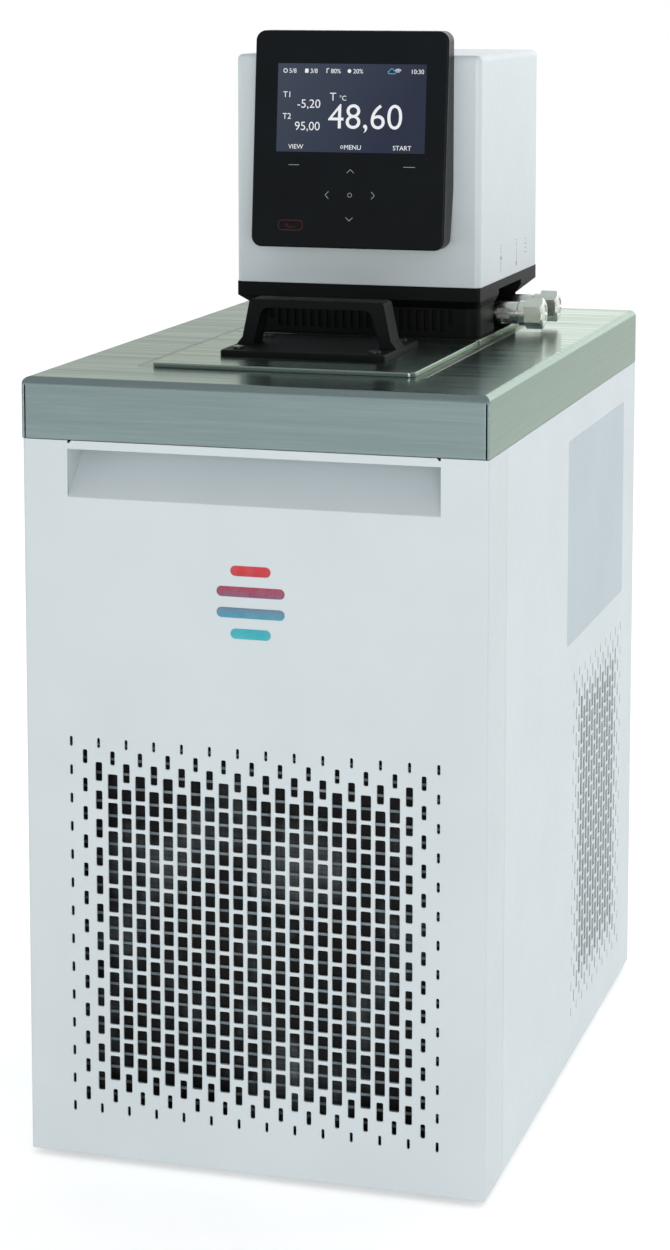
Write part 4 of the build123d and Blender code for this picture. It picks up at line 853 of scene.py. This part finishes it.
def fading_ink(name, low, high, stops):
    """A print whose colour changes with height."""
    material, tree, main = start_finish(name)
    share = spread(tree, axes_of(tree, place_on_part(tree))[2], 0.0, 1.0, low, high)
    ramp = tree.nodes.new("ShaderNodeValToRGB")
    tree.links.new(share, ramp.inputs[0])
    while len(ramp.color_ramp.elements) < len(stops):
        ramp.color_ramp.elements.new(0.5)
    for element, (place, colour) in zip(ramp.color_ramp.elements, stops):
        element.position = place
        element.color = (*colour, 1)
    wear = spread(tree, grain(tree, 150.0, 3.0), 0.0, 0.06)
    plug(tree, blend_colours(tree, wear, ramp.outputs[0], WORN_INK), main.inputs["Base Color"])
    plug(tree, spread(tree, grain(tree, 900.0), 0.25, 0.38), main.inputs["Roughness"])
    return material


warm_to_cold = fading_ink("warm_to_cold", MARK_FOOT, MARK_TOP, COLD_TO_WARM)
mark_mesh = print_mesh("scale_mark", bars, on_front, INLAY_PROUD, INLAY_DEPTH)
mark = link_piece("scale_mark", mark_mesh, warm_to_cold)
plate_film = painted_sheet("plate_film", tone("b7c3c9"), shine=0.6, edge=0, peel=0)
plate_mesh = print_mesh("side_plate", plate_shape, on_side, INLAY_PROUD, INLAY_DEPTH)
plate = link_piece("side_plate", plate_mesh, plate_film)
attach(mark, "front_panel")
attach(plate, "tower")
print("prints:", mark.name, plate.name)

# %% [markdown]
# ## Signs on the display
# The pane carries faint touch signs: two short lines, four arrow heads, a small ring, and a dim red
# field. The screen shows numbers and a few plain words. Strokes are flat ribbons, and the numbers are
# set in Blender's own font and turned into meshes. Large figures are made a little thinner than the
# font draws them. All of them lie a few hundredths of a millimetre in front of the sloping pane.

# %% Strokes on the sloping pane
PANE_LOW = Vector((0, -34.5, 570.5))
PANE_HIGH = Vector((0, -21.0, 716.5))
SLOPE = (PANE_HIGH - PANE_LOW).normalized()
OUTWARD = Vector((0, -SLOPE.z, SLOPE.y))
GAP_TO_PANE = 0.02


def on_pane(across, up, proud):
    """A place on the pane, given by its width and its height above the floor."""
    along = (up - PANE_LOW.z) / SLOPE.z
    return Vector((across, 0, 0)) + PANE_LOW + SLOPE * along + OUTWARD * (proud + GAP_TO_PANE)


def ribbon(points, width, closed=False):
    """Outlines of a stroke's straight pieces, each a small rectangle with rounded ends."""
    loops = []
    pairs = list(zip(points, points[1:])) + ([(points[-1], points[0])] if closed else [])
    for first, second in pairs:
        a, b = Vector(first), Vector(second)
        way = (b - a).normalized()
        turn = math.atan2(way.y, way.x)
        loop = []
        for end, start_angle in ((b, turn - math.pi / 2), (a, turn + math.pi / 2)):
            for step in range(5):
                angle = start_angle + math.pi * step / 4
                loop.append((end.x + width / 2 * math.cos(angle), end.y + width / 2 * math.sin(angle)))
        loops.append(loop)
    return loops


def arc(across, up, radius, angles):
    """Points round a middle, at angles in degrees."""
    turns = [math.radians(angle) for angle in angles]
    return [(across + radius * math.cos(turn), up + radius * math.sin(turn)) for turn in turns]


def circle(across, up, radius, steps):
    """Points all the way round."""
    return arc(across, up, radius, [360 * i / steps for i in range(steps)])


KEY_STROKE = 0.34
KEY_LINES = [
    [(-42.0, 626.2), (-34.8, 626.2)],
    [(38.4, 625.9), (46.2, 625.9)],
    [(-1.0, 621.4), (1.4, 623.6), (3.8, 621.4)],
    [(-1.0, 591.4), (1.4, 589.2), (3.8, 591.4)],
    [(-13.6, 608.7), (-15.8, 606.3), (-13.6, 603.9)],
    [(16.5, 608.9), (18.7, 606.5), (16.5, 604.1)],
]
touch = [loop for line in KEY_LINES for loop in ribbon(line, KEY_STROKE)]
touch += ribbon(circle(1.4, 606.5, 1.4, 16), 0.3, True)
touch_signs = link_piece("touch_signs", print_mesh("touch_signs", touch, on_pane, 0.02), key_grey)
field = ribbon(rounded_rectangle(-39.9, 585.5, 17.0, 6.6, 2.6, 5), 0.35, True)
field += ribbon([(-43.0, 584.2), (-43.0, 586.8), (-41.0, 584.2), (-36.5, 584.2)], 0.3)
red_field = link_piece("red_field", print_mesh("red_field", field, on_pane, 0.02), key_red)
for piece in (touch_signs, red_field):
    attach(piece, "tower")
print("signs:", len(touch), "strokes and a field of", len(field))

# %% Numbers and words on the screen
LARGE_TEXT = 7


def words(text, across, up, size, align):
    """Text as a flat mesh on the pane; across and up give its anchor and its foot line."""
    curve = bpy.data.curves.new("words", "FONT")
    curve.body = text
    curve.size = size
    curve.align_x = align
    curve.extrude = 0.01
    curve.offset = -0.005 * size if size > LARGE_TEXT else 0.0
    holder = bpy.data.objects.new("words", curve)
    mesh = bpy.data.meshes.new_from_object(holder)
    for corner in mesh.vertices:
        corner.co = Vector(on_pane(across + corner.co.x, up + corner.co.y, 0.03 + corner.co.z)) * MM
    bpy.data.objects.remove(holder)
    return mesh


def joined(name, meshes, finish):
    """Several meshes as one piece."""
    shape = bmesh.new()
    for mesh in meshes:
        shape.from_mesh(mesh)
    return link_piece(name, mesh_from(name, shape), finish)


KEY_ROW, STATUS_ROW = 637.0, 688.0
STATUS_MIDDLE = STATUS_ROW + 1.5
KEY_SIZE, STATUS_SIZE = 4.4, 4.2
READINGS = [
    ("48,60", 37.4, 651.0, 23.8, "RIGHT"),
    ("-5,20", -20.6, 664.6, 8.2, "RIGHT"),
    ("95,00", -20.6, 649.6, 8.2, "RIGHT"),
    ("T1", -47.4, 671.6, 5.6, "LEFT"),
    ("T2", -47.4, 657.0, 5.6, "LEFT"),
    ("T", -14.4, 669.6, 7.8, "LEFT"),
    ("°C", -7.6, 669.8, 4.6, "LEFT"),
    ("VIEW", -37.5, KEY_ROW, KEY_SIZE, "CENTER"),
    ("MENU", 2.5, KEY_ROW, KEY_SIZE, "CENTER"),
    ("START", 37.0, KEY_ROW, KEY_SIZE, "CENTER"),
    ("5/8", -43.5, STATUS_ROW, STATUS_SIZE, "LEFT"),
    ("3/8", -28.6, STATUS_ROW, STATUS_SIZE, "LEFT"),
    ("80%", -14.0, STATUS_ROW, STATUS_SIZE, "LEFT"),
    ("20%", 1.6, STATUS_ROW, STATUS_SIZE, "LEFT"),
    ("10:30", 51.0, STATUS_ROW, STATUS_SIZE, "RIGHT"),
]
CLOUD = [(26.6, 688.0), (30.8, 688.0), (31.6, 688.9), (30.9, 689.9), (30.1, 690.2), (29.3, 691.2),
         (28.1, 691.3), (27.2, 690.5), (26.9, 689.9), (26.0, 689.3), (26.0, 688.5)]
meshes = [words(*reading) for reading in READINGS]
signs = ribbon(circle(-46.0, STATUS_MIDDLE, 1.3, 12), 0.5, True)
signs.append(rounded_rectangle(-31.0, STATUS_MIDDLE, 2.4, 2.8, 0.4))
signs += ribbon([(-16.8, 688.2), (-16.8, 691.0), (-15.4, 691.0)], 0.5)
signs.append(circle(-1.0, STATUS_MIDDLE, 1.3, 12))
signs += ribbon(circle(-5.0, 638.6, 0.9, 10), 0.35, True)
for radius in (1.0, 1.9, 2.8):
    signs += ribbon(arc(33.0, 688.3, radius, range(45, 136, 15)), 0.4)
meshes.append(print_mesh("icons", signs, on_pane, 0.04))
screen_text = joined("screen_text", meshes, ink_white)
cloud = ribbon(CLOUD, 0.42, True)
cloud_sign = link_piece("cloud_sign", print_mesh("cloud_sign", cloud, on_pane, 0.04), ink_blue)
for piece in (screen_text, cloud_sign):
    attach(piece, "tower")
print("screen:", len(screen_text.data.polygons), "faces of text and signs")

# %% [markdown]
# ## Signs by the hose connections
# Small grey signs stand on the right of the head, over the two connections: an arrow that points up,
# an arrow that points down, and a stack of short lines behind them. They are plain prints.

# %% Print the signs on the head
HEAD_SIDE = 86.35
FEED_SIGN, RETURN_SIGN, NOTE_SIGN = 53.2, 100.8, 129.4
ARROW_STROKE = 0.6


def on_head(across, up, proud):
    """A place on the right side of the head."""
    return HEAD_SIDE + proud, across, up


arrows = []
for line in ([(FEED_SIGN, 548.5), (FEED_SIGN, 560.0)],
             [(FEED_SIGN - 1.8, 557.5), (FEED_SIGN, 560.5), (FEED_SIGN + 1.8, 557.5)],
             [(RETURN_SIGN, 560.5), (RETURN_SIGN, 549.0)],
             [(RETURN_SIGN - 1.8, 551.5), (RETURN_SIGN, 548.5), (RETURN_SIGN + 1.8, 551.5)]):
    arrows += ribbon(line, ARROW_STROKE)
for foot in (FEED_SIGN, RETURN_SIGN):
    arrows += [rounded_rectangle(foot, up, 1.6, 1.0, 0.3) for up in (563.0, 565.0, 567.0)]
for up, width in ((556.0, 5.0), (559.0, 3.4), (562.0, 5.0), (565.5, 2.6)):
    arrows.append(rounded_rectangle(NOTE_SIGN, up, width, 0.7, 0.3))
sign_ink = painted_sheet("sign_ink", tone("7d868b"), shine=0.4, edge=0)
hose_signs = link_piece("hose_signs", print_mesh("hose_signs", arrows, on_head, 0.08), sign_ink)
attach(hose_signs, "tower")
print("hose signs:", len(arrows), "shapes")
